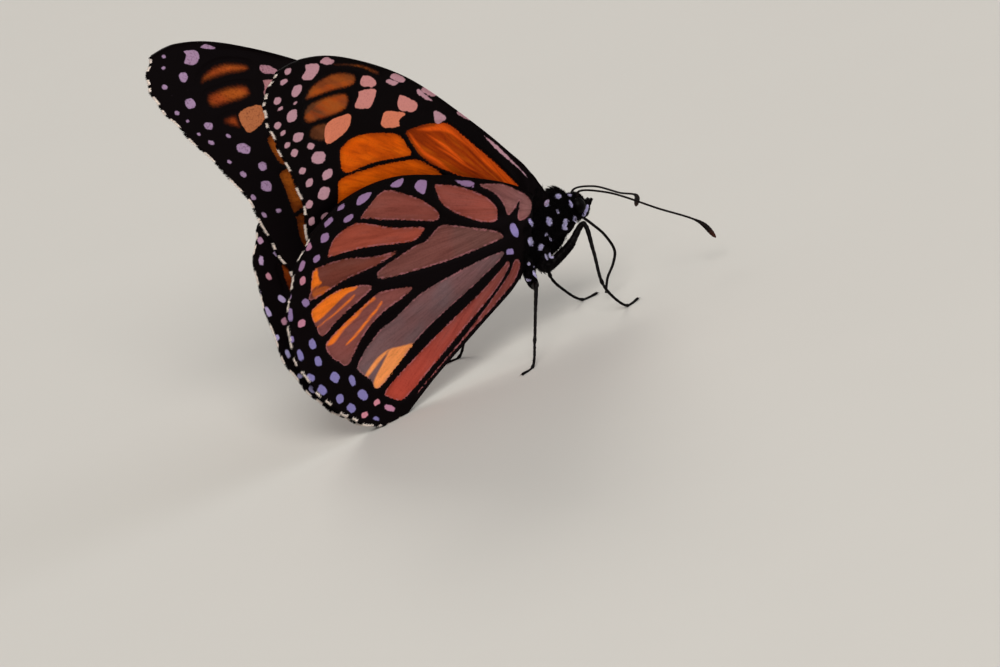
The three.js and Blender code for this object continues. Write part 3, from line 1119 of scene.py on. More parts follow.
HINDWING_PAINTED_BACKLIGHT = tuple(Patch(*row) for row in (
    # Painted backlight, where light comes through the wing: the cell above the middle of the margin, then
    # each one below it, with its streak.
    (1.0, ((-35.0, 4.0), (-34.8, 5.2), (-34.4, 6.3), (-33.5, 7.0), (-33.3, 6.4), (-33.3, 5.3), (-32.9, 4.5),
           (-33.4, 4.3), (-34.1, 4.3))),
    (0.62, ((-34.9, 4.1), (-34.1, 4.4), (-32.3, 3.9), (-31.7, 3.0), (-33.3, 2.5), (-34.5, 2.6))),
    (1.0, ((-35.5, 1.2), (-34.4, 2.2), (-32.5, 2.6), (-30.3, 2.5), (-27.9, 1.9), (-28.7, 1.3), (-29.7, 1.3),
           (-31.1, 0.9), (-32.6, 0.3), (-34.1, -0.1), (-35.2, -0.1))),
    (0.9, ((-35.0, -0.7), (-32.6, -0.2), (-30.6, 0.4), (-28.9, 1.0), (-28.8, 0.6), (-30.5, -0.1),
           (-32.5, -0.6), (-34.8, -1.0))),
    (0.82, ((-34.6, -3.4), (-31.9, -2.1), (-29.1, -1.1), (-26.8, -0.3), (-26.3, -0.9), (-27.7, -1.3),
            (-29.2, -2.1), (-30.6, -2.6), (-31.9, -3.2), (-33.4, -3.9))),
    (0.9, ((-32.0, -4.6), (-29.9, -3.6), (-28.4, -2.7), (-26.9, -1.9), (-25.8, -1.2), (-25.8, -1.7),
           (-26.7, -2.4), (-28.1, -3.2), (-29.6, -4.1), (-31.4, -4.8))),
    (1.0, ((-26.4, -7.7), (-24.9, -8.0), (-22.7, -8.7), (-24.7, -9.8), (-26.2, -10.8), (-28.2, -11.9),
           (-29.6, -12.0), (-30.0, -10.8), (-28.7, -9.6), (-27.5, -8.6))),
    (1.0, ((-31.2, -9.7), (-30.0, -8.8), (-28.1, -7.9), (-26.4, -7.7), (-27.6, -8.5), (-29.2, -9.3),
           (-31.0, -10.0))),
))
HINDWING_SPOTS = tuple(Spot(*row) for row in (
    # The row along the margin, from the costa round to the inner edge.
    (-28.95, 13.1, 0.65, 0.4), (-31.0, 12.0, 0.75, 0.45, 15), (-34.3, 10.15, 0.5, 0.55, 0, 0.6),
    (-35.6, 8.1, 0.75, 0.45, 55, 0.4), (-38.0, 5.1, 0.4, 0.6), (-38.3, 2.6, 0.45, 0.95),
    (-38.8, -0.6, 0.45, 0.5), (-38.3, -3.0, 0.45, 0.8), (-37.9, -6.2, 0.7, 0.45, -54),
    (-36.9, -8.4, 0.8, 0.55, -60), (-35.0, -10.5, 0.6, 0.65), (-33.9, -12.3, 0.75, 0.55, -60),
    (-32.4, -13.9, 0.55, 0.4, 0, 1.0), (-31.05, -15.05, 0.5, 0.3, -45),
    # The row inside it.
    (-28.05, 11.1, 0.85, 0.45), (-31.8, 10.2, 0.7, 0.65), (-33.3, 8.0, 0.6, 0.5),
    (-35.8, 6.1, 0.5, 0.6, 0, 0.9), (-35.8, 3.1, 0.7, 0.5, -60), (-36.9, 0.7, 0.6, 0.55, 0, 0.8),
    (-36.2, -2.5, 0.5, 0.8), (-36.2, -4.8, 0.5, 0.7), (-34.7, -7.7, 0.8, 0.65, -55), (-32.6, -9.1, 0.5, 0.8),
    (-31.8, -11.5, 0.9, 0.6, -60), (-30.25, -13.2, 0.5, 0.45, 0, 1.0), (-28.8, -14.7, 0.9, 0.4, -45, 0.7),
    # Along the costa, and at the root.
    (-2.9, -1.4, 0.3, 0.65, 15), (-3.75, -3.7, 0.4, 0.7, 15), (-9.2, 6.4, 0.25, 0.2),
)) + tuple(Patch(*row) for row in (
    (0.3, ((-21.4, 12.4), (-20.3, 12.7), (-19.2, 12.4), (-19.7, 11.6), (-20.7, 11.8))),
    (0.2, ((-17.8, 10.5), (-17.0, 11.1), (-15.8, 10.4), (-16.4, 9.0), (-17.1, 9.3))),
    (0.2, ((-11.8, 8.6), (-9.2, 7.2), (-9.0, 6.6), (-10.2, 6.8))),
    (0.3, ((-26.7, 12.4), (-26.1, 13.3), (-24.3, 13.0), (-24.7, 12.3), (-26.0, 12.0))),
    (0.0, ((-5.65, -0.4), (-4.95, -0.65), (-5.0, -1.8), (-5.3, -2.35), (-5.75, -2.1), (-6.0, -1.3))),
    (0.1, ((-7.3, -3.0), (-6.45, -3.35), (-6.6, -4.05), (-7.45, -3.7))),
))
FOREWING_CELLS = tuple(Cell(*row) for row in (
    (2, ((-17.3, 17.9), (-15.8, 17.8), (-14.0, 17.4), (-11.5, 16.3), (-10.2, 15.1), (-7.9, 11.9),
         (-4.9, 7.7), (-2.5, 3.8), (-2.1, 2.7), (-2.5, 2.2), (-6.1, 5.3), (-8.6, 7.1), (-11.3, 9.3),
         (-14.3, 12.1), (-15.9, 14.3), (-16.9, 16.5)), 1.4),
    (4, ((-27.2, 19.7), (-26.5, 20.5), (-25.2, 20.8), (-22.9, 20.3), (-20.0, 19.0), (-18.4, 17.9),
         (-17.5, 16.2), (-16.9, 14.6), (-18.8, 15.0), (-22.0, 16.0), (-24.2, 16.3), (-27.0, 16.9))),
    (3, ((-29.0, 10.8), (-28.3, 14.4), (-27.7, 16.2), (-24.3, 15.8), (-21.0, 15.1), (-16.7, 13.7),
         (-14.7, 12.1), (-13.0, 10.1), (-13.0, 8.5), (-20.0, 10.2), (-28.0, 11.5))),
    (3, ((-29.5, 9.8), (-28.0, 11.0), (-22.0, 9.9), (-14.0, 7.8), (-7.0, 4.2), (-3.0, 1.8), (-8.0, 2.4),
         (-18.0, 4.0), (-26.0, 5.6), (-29.8, 7.3))),
    # The three brown ones by the apex, and the streak above them.
    (0, ((-31.5, 29.0), (-31.0, 30.0), (-29.9, 30.6), (-28.0, 30.8), (-26.1, 30.4), (-23.9, 29.1),
         (-23.8, 27.9), (-24.9, 27.7), (-27.2, 28.3), (-29.1, 28.6))),
    (0, ((-32.0, 26.6), (-31.8, 27.6), (-31.0, 28.3), (-29.7, 28.3), (-27.5, 28.0), (-25.6, 27.3),
         (-25.1, 26.3), (-25.5, 25.2), (-27.0, 25.0), (-29.1, 25.3), (-31.2, 25.7))),
    (0, ((-31.5, 24.0), (-31.0, 25.0), (-29.7, 25.0), (-28.6, 24.5), (-28.8, 23.0), (-29.3, 22.3),
         (-30.6, 23.0))),
    (0, ((-26.5, 31.8), (-22.8, 29.9), (-20.2, 27.7), (-20.5, 27.3), (-22.9, 29.4), (-26.5, 31.5))),
))
FOREWING_PAINTED_BACKLIGHT = tuple(Patch(*row) for row in (
    # Painted backlight, where light comes through the wing: the large cell's bright edges and top, then the
    # lines in it.
    (1.0, ((-13.1, 16.7), (-10.6, 14.2), (-8.3, 11.2), (-6.2, 8.0), (-4.5, 5.5), (-3.4, 3.4), (-1.8, 2.4),
           (-2.2, 5.0), (-4.3, 8.5), (-6.3, 11.3), (-8.2, 14.0), (-10.2, 16.1))),
    (1.0, ((-17.1, 17.6), (-16.5, 17.2), (-15.0, 14.3), (-12.9, 11.9), (-10.8, 9.2), (-8.4, 7.2),
           (-11.1, 8.7), (-13.6, 11.5), (-15.7, 14.3))),
    (0.85, ((-16.0, 17.6), (-13.5, 17.0), (-11.0, 15.7), (-10.3, 14.2), (-12.4, 15.5), (-14.5, 16.5))),
    (0.9, ((-14.6, 16.5), (-11.5, 13.4), (-9.1, 9.7), (-9.4, 9.6), (-12.1, 13.1))),
    (0.9, ((-13.5, 14.2), (-11.2, 12.1), (-8.7, 9.1), (-6.2, 6.3), (-9.1, 8.9), (-11.6, 11.8))),
    # Painted backlight on the lower sides of the brown cells by the apex.
    (0.55, ((-31.9, 28.8), (-31.0, 29.7), (-28.6, 29.9), (-26.4, 29.3), (-24.4, 28.7), (-23.6, 27.5),
            (-25.0, 27.2), (-27.2, 27.8), (-29.1, 28.1))),
    (0.55, ((-32.5, 26.3), (-31.6, 27.3), (-29.6, 27.9), (-27.4, 27.7), (-25.2, 27.2), (-24.6, 26.2),
            (-25.2, 24.8), (-27.0, 24.5), (-29.2, 24.8), (-31.4, 25.2))),
))
FOREWING_SPOTS = tuple(Spot(*row) for row in (
    # The one at the root, then the row inside the margin, from the apex down.
    (0.94, -0.72, 0.44, 0.48), (-33.65, 27.9, 0.85, 0.8), (-33.1, 24.7, 0.85, 0.65, -20),
    (-31.4, 22.65, 0.6, 0.45, -30), (-30.5, 20.6, 1.2, 0.8, -30), (-29.5, 17.8, 0.85, 0.7),
    (-30.4, 15.6, 0.95, 0.85, -30), (-30.65, 12.5, 0.6, 0.5),
    # The row along the margin, from the apex down.
    (-33.5, 34.0, 0.55, 0.45), (-34.3, 32.9, 0.6, 0.4), (-35.5, 30.9, 0.6, 0.5, -30),
    (-35.2, 29.7, 0.5, 0.25), (-33.0, 29.4, 0.4, 0.25), (-35.9, 27.65, 0.55, 0.45, -40),
    (-35.2, 26.3, 0.45, 0.35), (-34.8, 24.4, 0.5, 0.4, -30), (-33.9, 22.9, 0.65, 0.5, -40),
    (-33.1, 20.0, 0.55, 0.45, -30), (-32.3, 18.0, 0.6, 0.6), (-32.7, 15.15, 0.6, 0.55, -40),
    (-32.65, 12.8, 0.5, 0.6),
)) + tuple(Patch(*row) for row in (
    # The peach patches behind the apex.
    (1.0, ((-25.2, 24.1), (-25.6, 22.4), (-27.4, 21.7), (-29.1, 21.9), (-29.0, 24.1), (-27.6, 24.7))),
    (0.7, ((-21.0, 25.6), (-21.4, 24.4), (-22.3, 23.6), (-23.6, 24.1), (-24.5, 24.8), (-23.7, 25.9),
           (-23.4, 26.5))),
    (0.6, ((-20.8, 26.6), (-21.1, 26.0), (-23.2, 27.1), (-22.7, 28.2), (-21.6, 27.7))),
    (0.7, ((-17.6, 23.1), (-16.4, 22.3), (-15.1, 20.8), (-15.5, 20.0), (-16.6, 20.3), (-18.1, 21.5))),
    (1.0, ((-20.2, 22.0), (-18.6, 21.4), (-17.0, 20.3), (-18.1, 19.9), (-18.2, 19.1), (-19.3, 19.4),
           (-20.9, 20.4))),
    # The pairs of streaks along the costa.
    (0.35, ((-18.1, 26.4), (-16.4, 24.9), (-16.9, 24.5), (-18.6, 25.9))),
    (0.35, ((-18.9, 26.0), (-17.5, 24.9), (-18.2, 24.7), (-19.4, 25.7))),
    (0.35, ((-13.8, 22.5), (-12.2, 20.9), (-12.7, 20.5), (-14.2, 22.0))),
    (0.3, ((-14.9, 22.6), (-14.4, 22.3), (-12.8, 20.1), (-13.5, 20.4), (-14.8, 21.8))),
    (0.2, ((-12.7, 18.7), (-11.8, 17.9), (-11.0, 16.8), (-12.0, 16.5), (-12.7, 16.8), (-12.9, 17.8))),
    (0.3, ((-9.2, 17.1), (-7.6, 15.5), (-8.0, 15.1), (-9.5, 16.6))),
    (0.2, ((-5.9, 11.9), (-4.4, 10.05), (-2.95, 7.9), (-1.5, 5.5), (-0.5, 3.5), (-0.7, 3.6), (-1.85, 5.6),
           (-3.35, 7.7), (-4.75, 9.7), (-5.85, 11.65))),
    # The two largest spots by the apex, and one on the costa.
    (0.35, ((-30.8, 33.7), (-29.1, 33.0), (-29.0, 32.1), (-29.9, 31.4), (-30.7, 31.4), (-31.7, 32.2),
            (-31.0, 33.0))),
    (0.3, ((-33.3, 31.2), (-32.7, 31.7), (-31.8, 31.3), (-31.9, 30.6), (-32.6, 30.1), (-33.4, 30.5))),
    (0.35, ((-28.8, 33.0), (-27.8, 33.3), (-26.6, 32.3), (-26.8, 31.9), (-27.7, 32.1))),
))
FOREWING = WingPlan(
    pair=Pair.FORE,
    base=((-2.6, -1.5), (0.0, -1.2), (1.6, -0.8)),
    costa=((1.6, -0.8), (-0.6, 5.1), (-7.9, 15.1), (-16.3, 25.0), (-25.0, 31.9), (-30.8, 34.5),
           (-35.0, 34.7)),
    outer=((-33.4, 5.0), (-33.8, 9.2), (-33.7, 16.0), (-36.2, 24.2), (-37.6, 29.3), (-37.2, 32.4),
           (-35.0, 34.7)),
    inner=((-2.6, -1.5), (-12.0, 1.6), (-24.0, 2.9), (-33.4, 5.0)),
    cells=FOREWING_CELLS,
    spots=FOREWING_SPOTS,
    flushes=FOREWING_PAINTED_BACKLIGHT,
    curl=0.2,
)
HINDWING = WingPlan(
    pair=Pair.HIND,
    base=((-4.8, -6.2), (-3.4, -3.2), (-2.0, -0.8), (-0.8, 1.3)),
    costa=((-0.8, 1.3), (-2.9, 3.5), (-6.7, 6.2), (-13.9, 10.3), (-21.0, 13.3), (-28.1, 13.8),
           (-33.9, 11.5)),
    outer=((-27.4, -16.8), (-31.0, -16.4), (-34.8, -13.4), (-37.9, -8.6), (-39.5, -2.0), (-37.5, 6.9),
           (-33.9, 11.5)),
    inner=((-4.8, -6.2), (-7.6, -8.7), (-13.9, -11.1), (-21.0, -13.8), (-27.4, -16.8)),
    cells=HINDWING_CELLS,
    spots=HINDWING_SPOTS,
    flushes=HINDWING_PAINTED_BACKLIGHT,
    curl=0.8,
)


# -------- trunk


@dataclass(frozen=True)
class Form:
    """A rounded form along X: its middle, half sizes, how square its ends are, and how it bends."""

    middle: Span
    half: Place
    fullness: float
    taper: float = 0.0
    sink: float = 0.0
    rings: int = 0
    ring_depth: float = 0.0

    def section(self, along: Array) -> tuple[Array, Array, Array]:
        """Give the form's oval section at each place along.

        With x the share from the middle to the end, its size is the root of one less x, both to
        the power of the fullness, times the taper and the rings.

        Args:
            along: places along.

        Returns:
            The half width, half height and middle height, with no size past the ends.
        """
        x = (along - self.middle[0]) / self.half[0]
        full = np.clip(1 - np.abs(x) ** self.fullness, 0, 1) ** (1 / self.fullness) * (1 - self.taper * x)
        if self.rings:
            full = full * (1 - self.ring_depth * np.cos(np.pi * self.rings * (x + 1) / 2) ** 8)
        x = np.clip(x, -1, 1)
        return self.half[1] * full, self.half[2] * full, self.middle[1] - self.sink * (x * x - x) / 2


@dataclass(frozen=True)
class Coat:
    """A stretch of coat.

    It has where it starts and ends along the trunk, how many locks grow there, their shortest and
    longest, how far they stand off the skin from 0 flat to 1 upright, their half width, which way
    they lie, -1 to the tail and 1 to the front, and the turns between which they grow.
    """

    name: str
    low: float
    high: float
    count: int
    lengths: Span
    lift: float
    width: float
    comb: float = -1
    sector: Span = (-np.pi / 2, 3 * np.pi / 2)


@dataclass
class Trunk:
    """The head, thorax and abdomen under one skin, with the coat over it."""

    forms: tuple[Form, ...] = (
        Form((5.4, -3.3), (1.5, 1.6, 1.8), 2.2),
        Form((3.0, -2.7), (1.9, 1.9, 2.85), 2.6),
        Form((-1.7, -3.2), (5.5, 2.65, 4.35), 2.3, taper=0.06, sink=0.3),
        Form((-15.0, -5.1), (9.6, 2.0, 2.05), 2.3, taper=-0.12, sink=1.4, rings=8, ring_depth=0.09),
    )
    tail: float = -24.6
    front: float = 6.9
    blend: float = 0.2
    stoutest: float = 4.2
    spot_depth: float = 1.2
    stray: float = 0.16
    droop: float = 0.12
    comb_bend: float = 0.25
    bury: float = 0.03
    steps: tuple[int, int] = (300, 110)
    coats: tuple[Coat, ...] = (
        Coat("head_coat", 4.0, 6.75, 4200, (0.22, 0.5), 0.5, 0.035),
        Coat("face_coat", 5.6, 6.8, 1400, (0.25, 0.6), 0.35, 0.035, comb=1),
        Coat("throat_coat", -0.5, 6.1, 2300, (0.7, 1.15), 0.5, 0.04, sector=(-2.5, -0.64)),
        Coat("thorax_coat", -7.0, 4.3, 14000, (0.45, 0.95), 0.35, 0.045),
        Coat("abdomen_coat", -24.4, -6.4, 9000, (0.3, 0.5), 0.14, 0.05),
    )
    spots: tuple[tuple[float, float, float, float, float], ...] = (
        # Places on both sides, with each spot's half length and half height.
        # Collar and head, with a streak down the cheek and palp.
        (3.18, 1.42, -0.86, 0.42, 0.36), (5.17, 0.67, -1.71, 0.26, 0.15), (4.45, 1.35, -2.5, 0.34, 0.5),
        (2.09, 2.0, -2.41, 0.18, 0.36), (4.19, 1.15, -4.46, 0.38, 0.52), (5.85, 0.95, -4.6, 0.34, 0.3),
        (6.3, 0.9, -4.2, 0.36, 0.32), (6.75, 0.9, -3.95, 0.26, 0.26),
        # Side of the thorax, from the top down.
        (0.94, 1.79, -0.7, 0.46, 0.5), (0.2, 2.46, -2.82, 0.43, 0.66), (2.7, 1.7, -4.05, 0.38, 0.42),
        (2.2, 1.8, -4.55, 0.38, 0.42), (-2.32, 2.5, -1.73, 0.32, 0.72), (-3.3, 2.57, -3.85, 0.42, 0.76),
        (-0.92, 2.5, -4.1, 0.22, 0.26), (-0.43, 2.3, -4.92, 0.15, 0.42), (-2.07, 2.3, -5.29, 0.43, 0.47),
        (-4.77, 2.2, -4.86, 0.22, 0.36),
        # Underside and the legs' roots.
        (-4.35, 1.7, -6.37, 0.24, 0.38), (-1.72, 1.5, -6.8, 0.26, 0.5), (-1.1, 2.3, -6.85, 0.3, 0.4),
        (-3.79, 1.1, -7.13, 0.2, 0.24), (-4.15, 2.2, -8.0, 0.3, 0.55), (-5.5, 2.2, -8.05, 0.22, 0.3),
        # Back, and the abdomen's first ring.
        (-1.0, 0.9, 0.6, 0.35, 0.3), (-6.2, 1.8, -4.0, 0.35, 0.35),
    )

    def heights(self, along: Array) -> Array:
        """Find the shared middle line: the forms' middles, weighed by their heights' squares.

        Args:
            along: places along.

        Returns:
            The line's heights.
        """
        total, weight = 0.0, 0.0
        along = np.clip(along, self.tail + 0.002, self.front - 0.002)
        for form in self.forms:
            _, tall, middle = form.section(along)
            total, weight = total + tall**2 * middle, weight + tall**2
        return total / weight

    def radius(self, along: Array, turn: Array) -> Array:
        """Give the skin's distance from the middle line.

        Each form's oval section is met by a ray from the middle line. The distances are joined by a
        smooth maximum, which also lies the blend's width inside the forms.

        Args:
            along: places along.
            turn: angles round, from the butterfly's left, upwards.

        Returns:
            The distances.
        """
        line = self.heights(along)
        reaches = []
        for form in self.forms:
            *sizes, middle = form.section(along)
            wide, tall = (np.maximum(size, 1e-4) for size in sizes)
            lift = line - middle
            a = (np.cos(turn) / wide) ** 2 + (np.sin(turn) / tall) ** 2
            b = 2 * lift * np.sin(turn) / tall**2
            c = lift**2 / tall**2 - 1
            root = np.sqrt(np.maximum(b * b - 4 * a * c, 0))
            reaches.append(np.where(c < 0, (root - b) / (2 * a), 0))
        total = sum(np.exp(reach / self.blend) for reach in reaches)
        return np.maximum(self.blend * (np.log(total) - np.log(len(reaches))), 1e-3)

    def places(self, along: Array, turn: Array) -> Array:
        """The skin's places: the middle line, plus the radius along the turn."""
        radius = self.radius(along, turn)
        return np.stack([along, radius * np.cos(turn), self.heights(along) + radius * np.sin(turn)], axis=-1)

    def spot_reach(self, places: Array) -> Array:
        """Measure how far inside the nearest pale spot each place is, on either side.

        Args:
            places: the places.

        Returns:
            The reaches.
        """
        reach = np.full(len(places), -9.0)
        for along, out, up, long, tall in self.spots:
            x, z = (places[:, 0] - along) / long, (places[:, 2] - up) / tall
            y = (np.abs(places[:, 1]) - out) / self.spot_depth
            reach = np.maximum(reach, (1 - np.sqrt(x * x + y * y + z * z)) * min(long, tall))
        return reach

    def map_spots(self, along: Array, turn: Array) -> Array:
        """The unwrap: along the trunk one way, round it the other."""
        share = (along - self.tail) / (self.front - self.tail)
        round_it = (turn + np.pi / 2) % (2 * np.pi) / (2 * np.pi)
        return 0.01 + 0.98 * np.stack([share, round_it], axis=-1)

    def skin(self, finish: Material) -> None:
        """Build the skin: rings from the tail to the front.

        Args:
            finish: the skin's material.
        """
        rings, sides = self.steps
        share = (1 - np.cos(np.linspace(0, np.pi, rings))) / 2
        along = self.tail + (self.front - self.tail) * (0.6 * share + 0.4 * np.linspace(0, 1, rings))
        turn = np.linspace(-np.pi / 2, 3 * np.pi / 2, sides, endpoint=False)
        places = self.places(np.repeat(along, sides), np.tile(turn, rings))
        for row in (slice(0, sides), slice(-sides, None)):
            places[row] = places[row].mean(axis=0)
        skin = Surface("trunk_skin", places, [grid_quads(rings, sides, closed=True)],
                       corner_map=tube_map(rings, sides))
        skin.marks["spot"] = self.spot_reach(places)
        skin.build([finish], ("head", "thorax", "abdomen"), "fur")

    def grow(self, coat: Coat, finish: Material) -> None:
        """Build a stretch of the coat, its locks laid along the trunk.

        Places are drawn evenly over the turns and thinned where the trunk is slender.

        Args:
            coat: the stretch.
            finish: the locks' material.
        """
        draw = np.random.default_rng(SEED + len(coat.name))
        tries = 4 * coat.count
        along = draw.uniform(coat.low, coat.high, tries)
        turn = draw.uniform(*coat.sector, tries)
        kept = draw.uniform(0, self.stoutest, tries) < self.radius(along, turn)
        along, turn = along[kept][:coat.count], turn[kept][:coat.count]
        here = self.places(along, turn)
        front = unit(self.places(along + 0.02, turn) - here)
        normal = unit(np.cross(self.places(along, turn + 0.01) - here, front))
        line = np.stack([along, 0 * along, self.heights(along)], axis=1)
        normal = normal * np.sign(np.sum(normal * (here - line), axis=1) + 1e-9)[:, None]
        jitter = draw.normal(0, self.stray, (len(along), 3))
        ways = unit(front * coat.comb * (1 - coat.lift) + normal * coat.lift + jitter)
        bends = coat.comb * self.comb_bend * front - self.droop * normal + jitter[:, ::-1] * 0.5
        lengths = draw.uniform(*coat.lengths, len(along))
        widths = coat.width * draw.uniform(0.75, 1.2, len(along))
        spots = np.clip(self.map_spots(along, turn), 0.003, 0.997)
        hair = locks(coat.name, here - normal * self.bury, ways, bends, lengths, widths, spots)
        hair.marks["spot"] = self.spot_reach(hair.places)
        hair.build([finish], (), "fur")


@dataclass
class Eye:
    """A compound eye: a bulging oval dome."""

    middle: Place = (5.5, 1.1, -3.22)
    half: Place = (0.9, 0.9, 1.02)
    steps: tuple[int, int] = (48, 72)

    def build(self, side: Side, finish: Material) -> None:
        """Build the dome: a ball stretched to its half sizes, turned in rings about Y.

        Args:
            side: which side of the head.
            finish: the eye's material.
        """
        rings, sides = self.steps
        fall = np.repeat(np.linspace(0, np.pi, rings), sides)
        turn = np.tile(np.linspace(0, 2 * np.pi, sides, endpoint=False), rings)
        ball = np.stack([np.sin(fall) * np.cos(turn), np.cos(fall), np.sin(fall) * np.sin(turn)], axis=1)
        places = (ball * self.half + self.middle) * side.mirror
        way = -1 if side is Side.RIGHT else 1
        faces = grid_quads(rings, sides, closed=True)[:, ::way]
        spots = tube_map(rings, sides).reshape(-1, 4, 2)[:, ::way].reshape(-1, 2)
        dome = Surface(f"eye_dome_{side.letter}", places, [faces], corner_map=spots)
        dome.build([finish], (f"eye_{side.letter}",), "eye")


# -------- legs, feelers and mouth


@dataclass(frozen=True)
class TubeHair:
    """The hair on a tube: how many locks, where they grow, how long they are and how they stand."""

    count: int
    slots: Span
    lengths: Span
    lift: float
    width: float
    taper: float

    def grow(self, name: str, path: Array, slots: Array, radii: Array, trunk: Trunk, seed: int) -> Surface:
        """Grow the locks round the tube, combed towards its tip.

        Args:
            name: the piece's name.
            path: the tube's middle line.
            slots: where each place of the line lies between the tube's named places.
            radii: the tube's radii there.
            trunk: the trunk, whose spots run on over the hair.
            seed: the draw's seed.

        Returns:
            The locks.
        """
        draw = np.random.default_rng(seed)
        room = np.flatnonzero((slots >= self.slots[0]) & (slots <= self.slots[1]))
        pick = draw.choice(room[:-1], self.count)
        turn = draw.uniform(0, 2 * np.pi, self.count)
        tangent = unit(np.gradient(path, axis=0))[pick]
        across = unit(np.cross(tangent, [0, 1.0, 0]))
        rise = np.cross(tangent, across)
        normal = np.cos(turn)[:, None] * across + np.sin(turn)[:, None] * rise
        roots = path[pick] + normal * radii[pick, None] * 0.93
        ways = unit(tangent + normal * self.lift + draw.normal(0, 0.12, (self.count, 3)))
        lengths = draw.uniform(*self.lengths, self.count) * (1 + self.taper / 2 - self.taper * slots[pick])
        widths = self.width * draw.uniform(0.75, 1.1, self.count)
        share = (pick - room[0]) / (room[-1] - room[0])
        spots = 0.02 + 0.96 * np.stack([share, turn / (2 * np.pi)], axis=1)
        coat = locks(name, roots, ways, tangent * 0.1, lengths, widths, spots)
        coat.marks["spot"] = trunk.spot_reach(coat.places)
        return coat


@dataclass(frozen=True)
class Knot:
    """A swollen joint in a leg, and the waist after it, in slots along the leg."""

    swell: float = 0.3
    reach: float = 0.09
    waist: float = 0.15
    waist_after: float = 0.16
    waist_reach: float = 0.06

    def size(self, slots: Array, at: float) -> Array:
        """The share of the radius at each slot: one, plus the swelling's bell, less the waist's."""
        swell = self.swell * np.exp(-(((slots - at) / self.reach) ** 2))
        return 1 + swell - self.waist * np.exp(-(((slots - at - self.waist_after) / self.waist_reach) ** 2))


@dataclass(frozen=True)
class Limb:
    """A jointed leg: places along its middle, its radii there, its joints, spines, claws and hair."""

    name: str
    places: Course
    radii: tuple[float, ...]
    hair: TubeHair
    rings: int = 160
    sides: int = 16
    groove_every: float = 0.9
    groove: float = 0.0
    spines: int = 0
    spine_lengths: Span = (0.28, 0.45)
    spine_width: float = 0.035
    claws: bool = False
    claw_lengths: tuple[float, ...] = (0.5, 0.5, 0.3, 0.3)
    claw_sides: tuple[float, ...] = (1, -1, 0.4, -0.4)
    claw_width: float = 0.055
    claw_rise: float = 0.35
    claw_hook: float = -0.62
    knots: tuple[int, ...] = ()
    knot: Knot = Knot()

    def course(self, side: Side) -> tuple[Array, Array, Array]:
        """The leg's middle line on one side: its places, slots and radii."""
        return tapered_curve(self.places * side.mirror, self.radii, self.rings)

    def surfaces(self, side: Side) -> list[Surface]:
        """Work out the leg's tube, its spines and its claws.

        The tube is swollen at the joints, and grooved at even steps by a narrow cosine.

        Args:
            side: which side of the body.

        Returns:
            The surfaces.
        """
        path, slots, radii = self.course(side)
        for at in self.knots:
            radii = radii * self.knot.size(slots, at)
        radii = radii * (1 - self.groove * np.cos(np.pi * lengths_along(path) / self.groove_every) ** 12)
        radii[0] *= 0.7
        shell = tube(self.name, path, radii, self.sides)
        shell.keep_above()
        parts, thorns = [shell], []
        if self.spines:
            draw = np.random.default_rng(SEED + self.rings)
            pick = np.linspace(self.rings * 0.5, self.rings - 4, self.spines).astype(int)
            tangent = unit(np.gradient(path, axis=0))[pick]
            off = unit(np.cross(tangent, draw.normal(0, 1, (self.spines, 3))))
            ways = unit(tangent * 0.8 + off * 0.7)
            # Those on the foot don't point down into the floor.
            low = path[pick, 2] < 1 - HINGE_HEIGHT
            ways[:, 2] = np.where(low, np.maximum(ways[:, 2], 0), ways[:, 2])
            lengths = draw.uniform(*self.spine_lengths, self.spines)
            thorns.append((path[pick], ways, off * 0, lengths, self.spine_width))
        if self.claws:
            heading = unit(path[-1] - path[-5])
            across = unit(np.cross(heading, [0, 0, 1.0]))
            spread = across * np.array(self.claw_sides)[:, None]
            ways = unit(heading + spread * 0.5 + [0, 0, self.claw_rise])
            roots = path[-1] - heading * 0.1 + spread * 0.08
            bends = np.tile([0, 0, self.claw_hook], (len(spread), 1))
            thorns.append((roots, ways, bends, np.array(self.claw_lengths), self.claw_width))
        for row in thorns:
            share = np.linspace(0.05, 0.95, len(row[0]))
            parts.append(locks("thorns", *row, np.stack([share, 0 * share + 0.5], axis=1)))
            parts[-1].keep_above(0.01)
        for part in parts:
            part.marks["light"] = np.zeros(len(part.places))
        return parts

    def build(self, side: Side, trunk: Trunk, finish: Material, hair: Material) -> None:
        """Build the leg in place of its solid, and the hair on its upper joints.

        Args:
            side: which side of the body.
            trunk: the trunk, whose spots run on over the hair.
            finish: the leg's material.
            hair: its hair's material.
        """
        shell = joined(f"{self.name}_shell_{side.letter}", self.surfaces(side))
        shell.build([finish], (f"{self.name}_{side.letter}",), "limb")
        seed = SEED + len(self.name)
        coat = self.hair.grow(f"{self.name}_hair_{side.letter}", *self.course(side), trunk, seed)
        coat.build([hair], (), "fur")


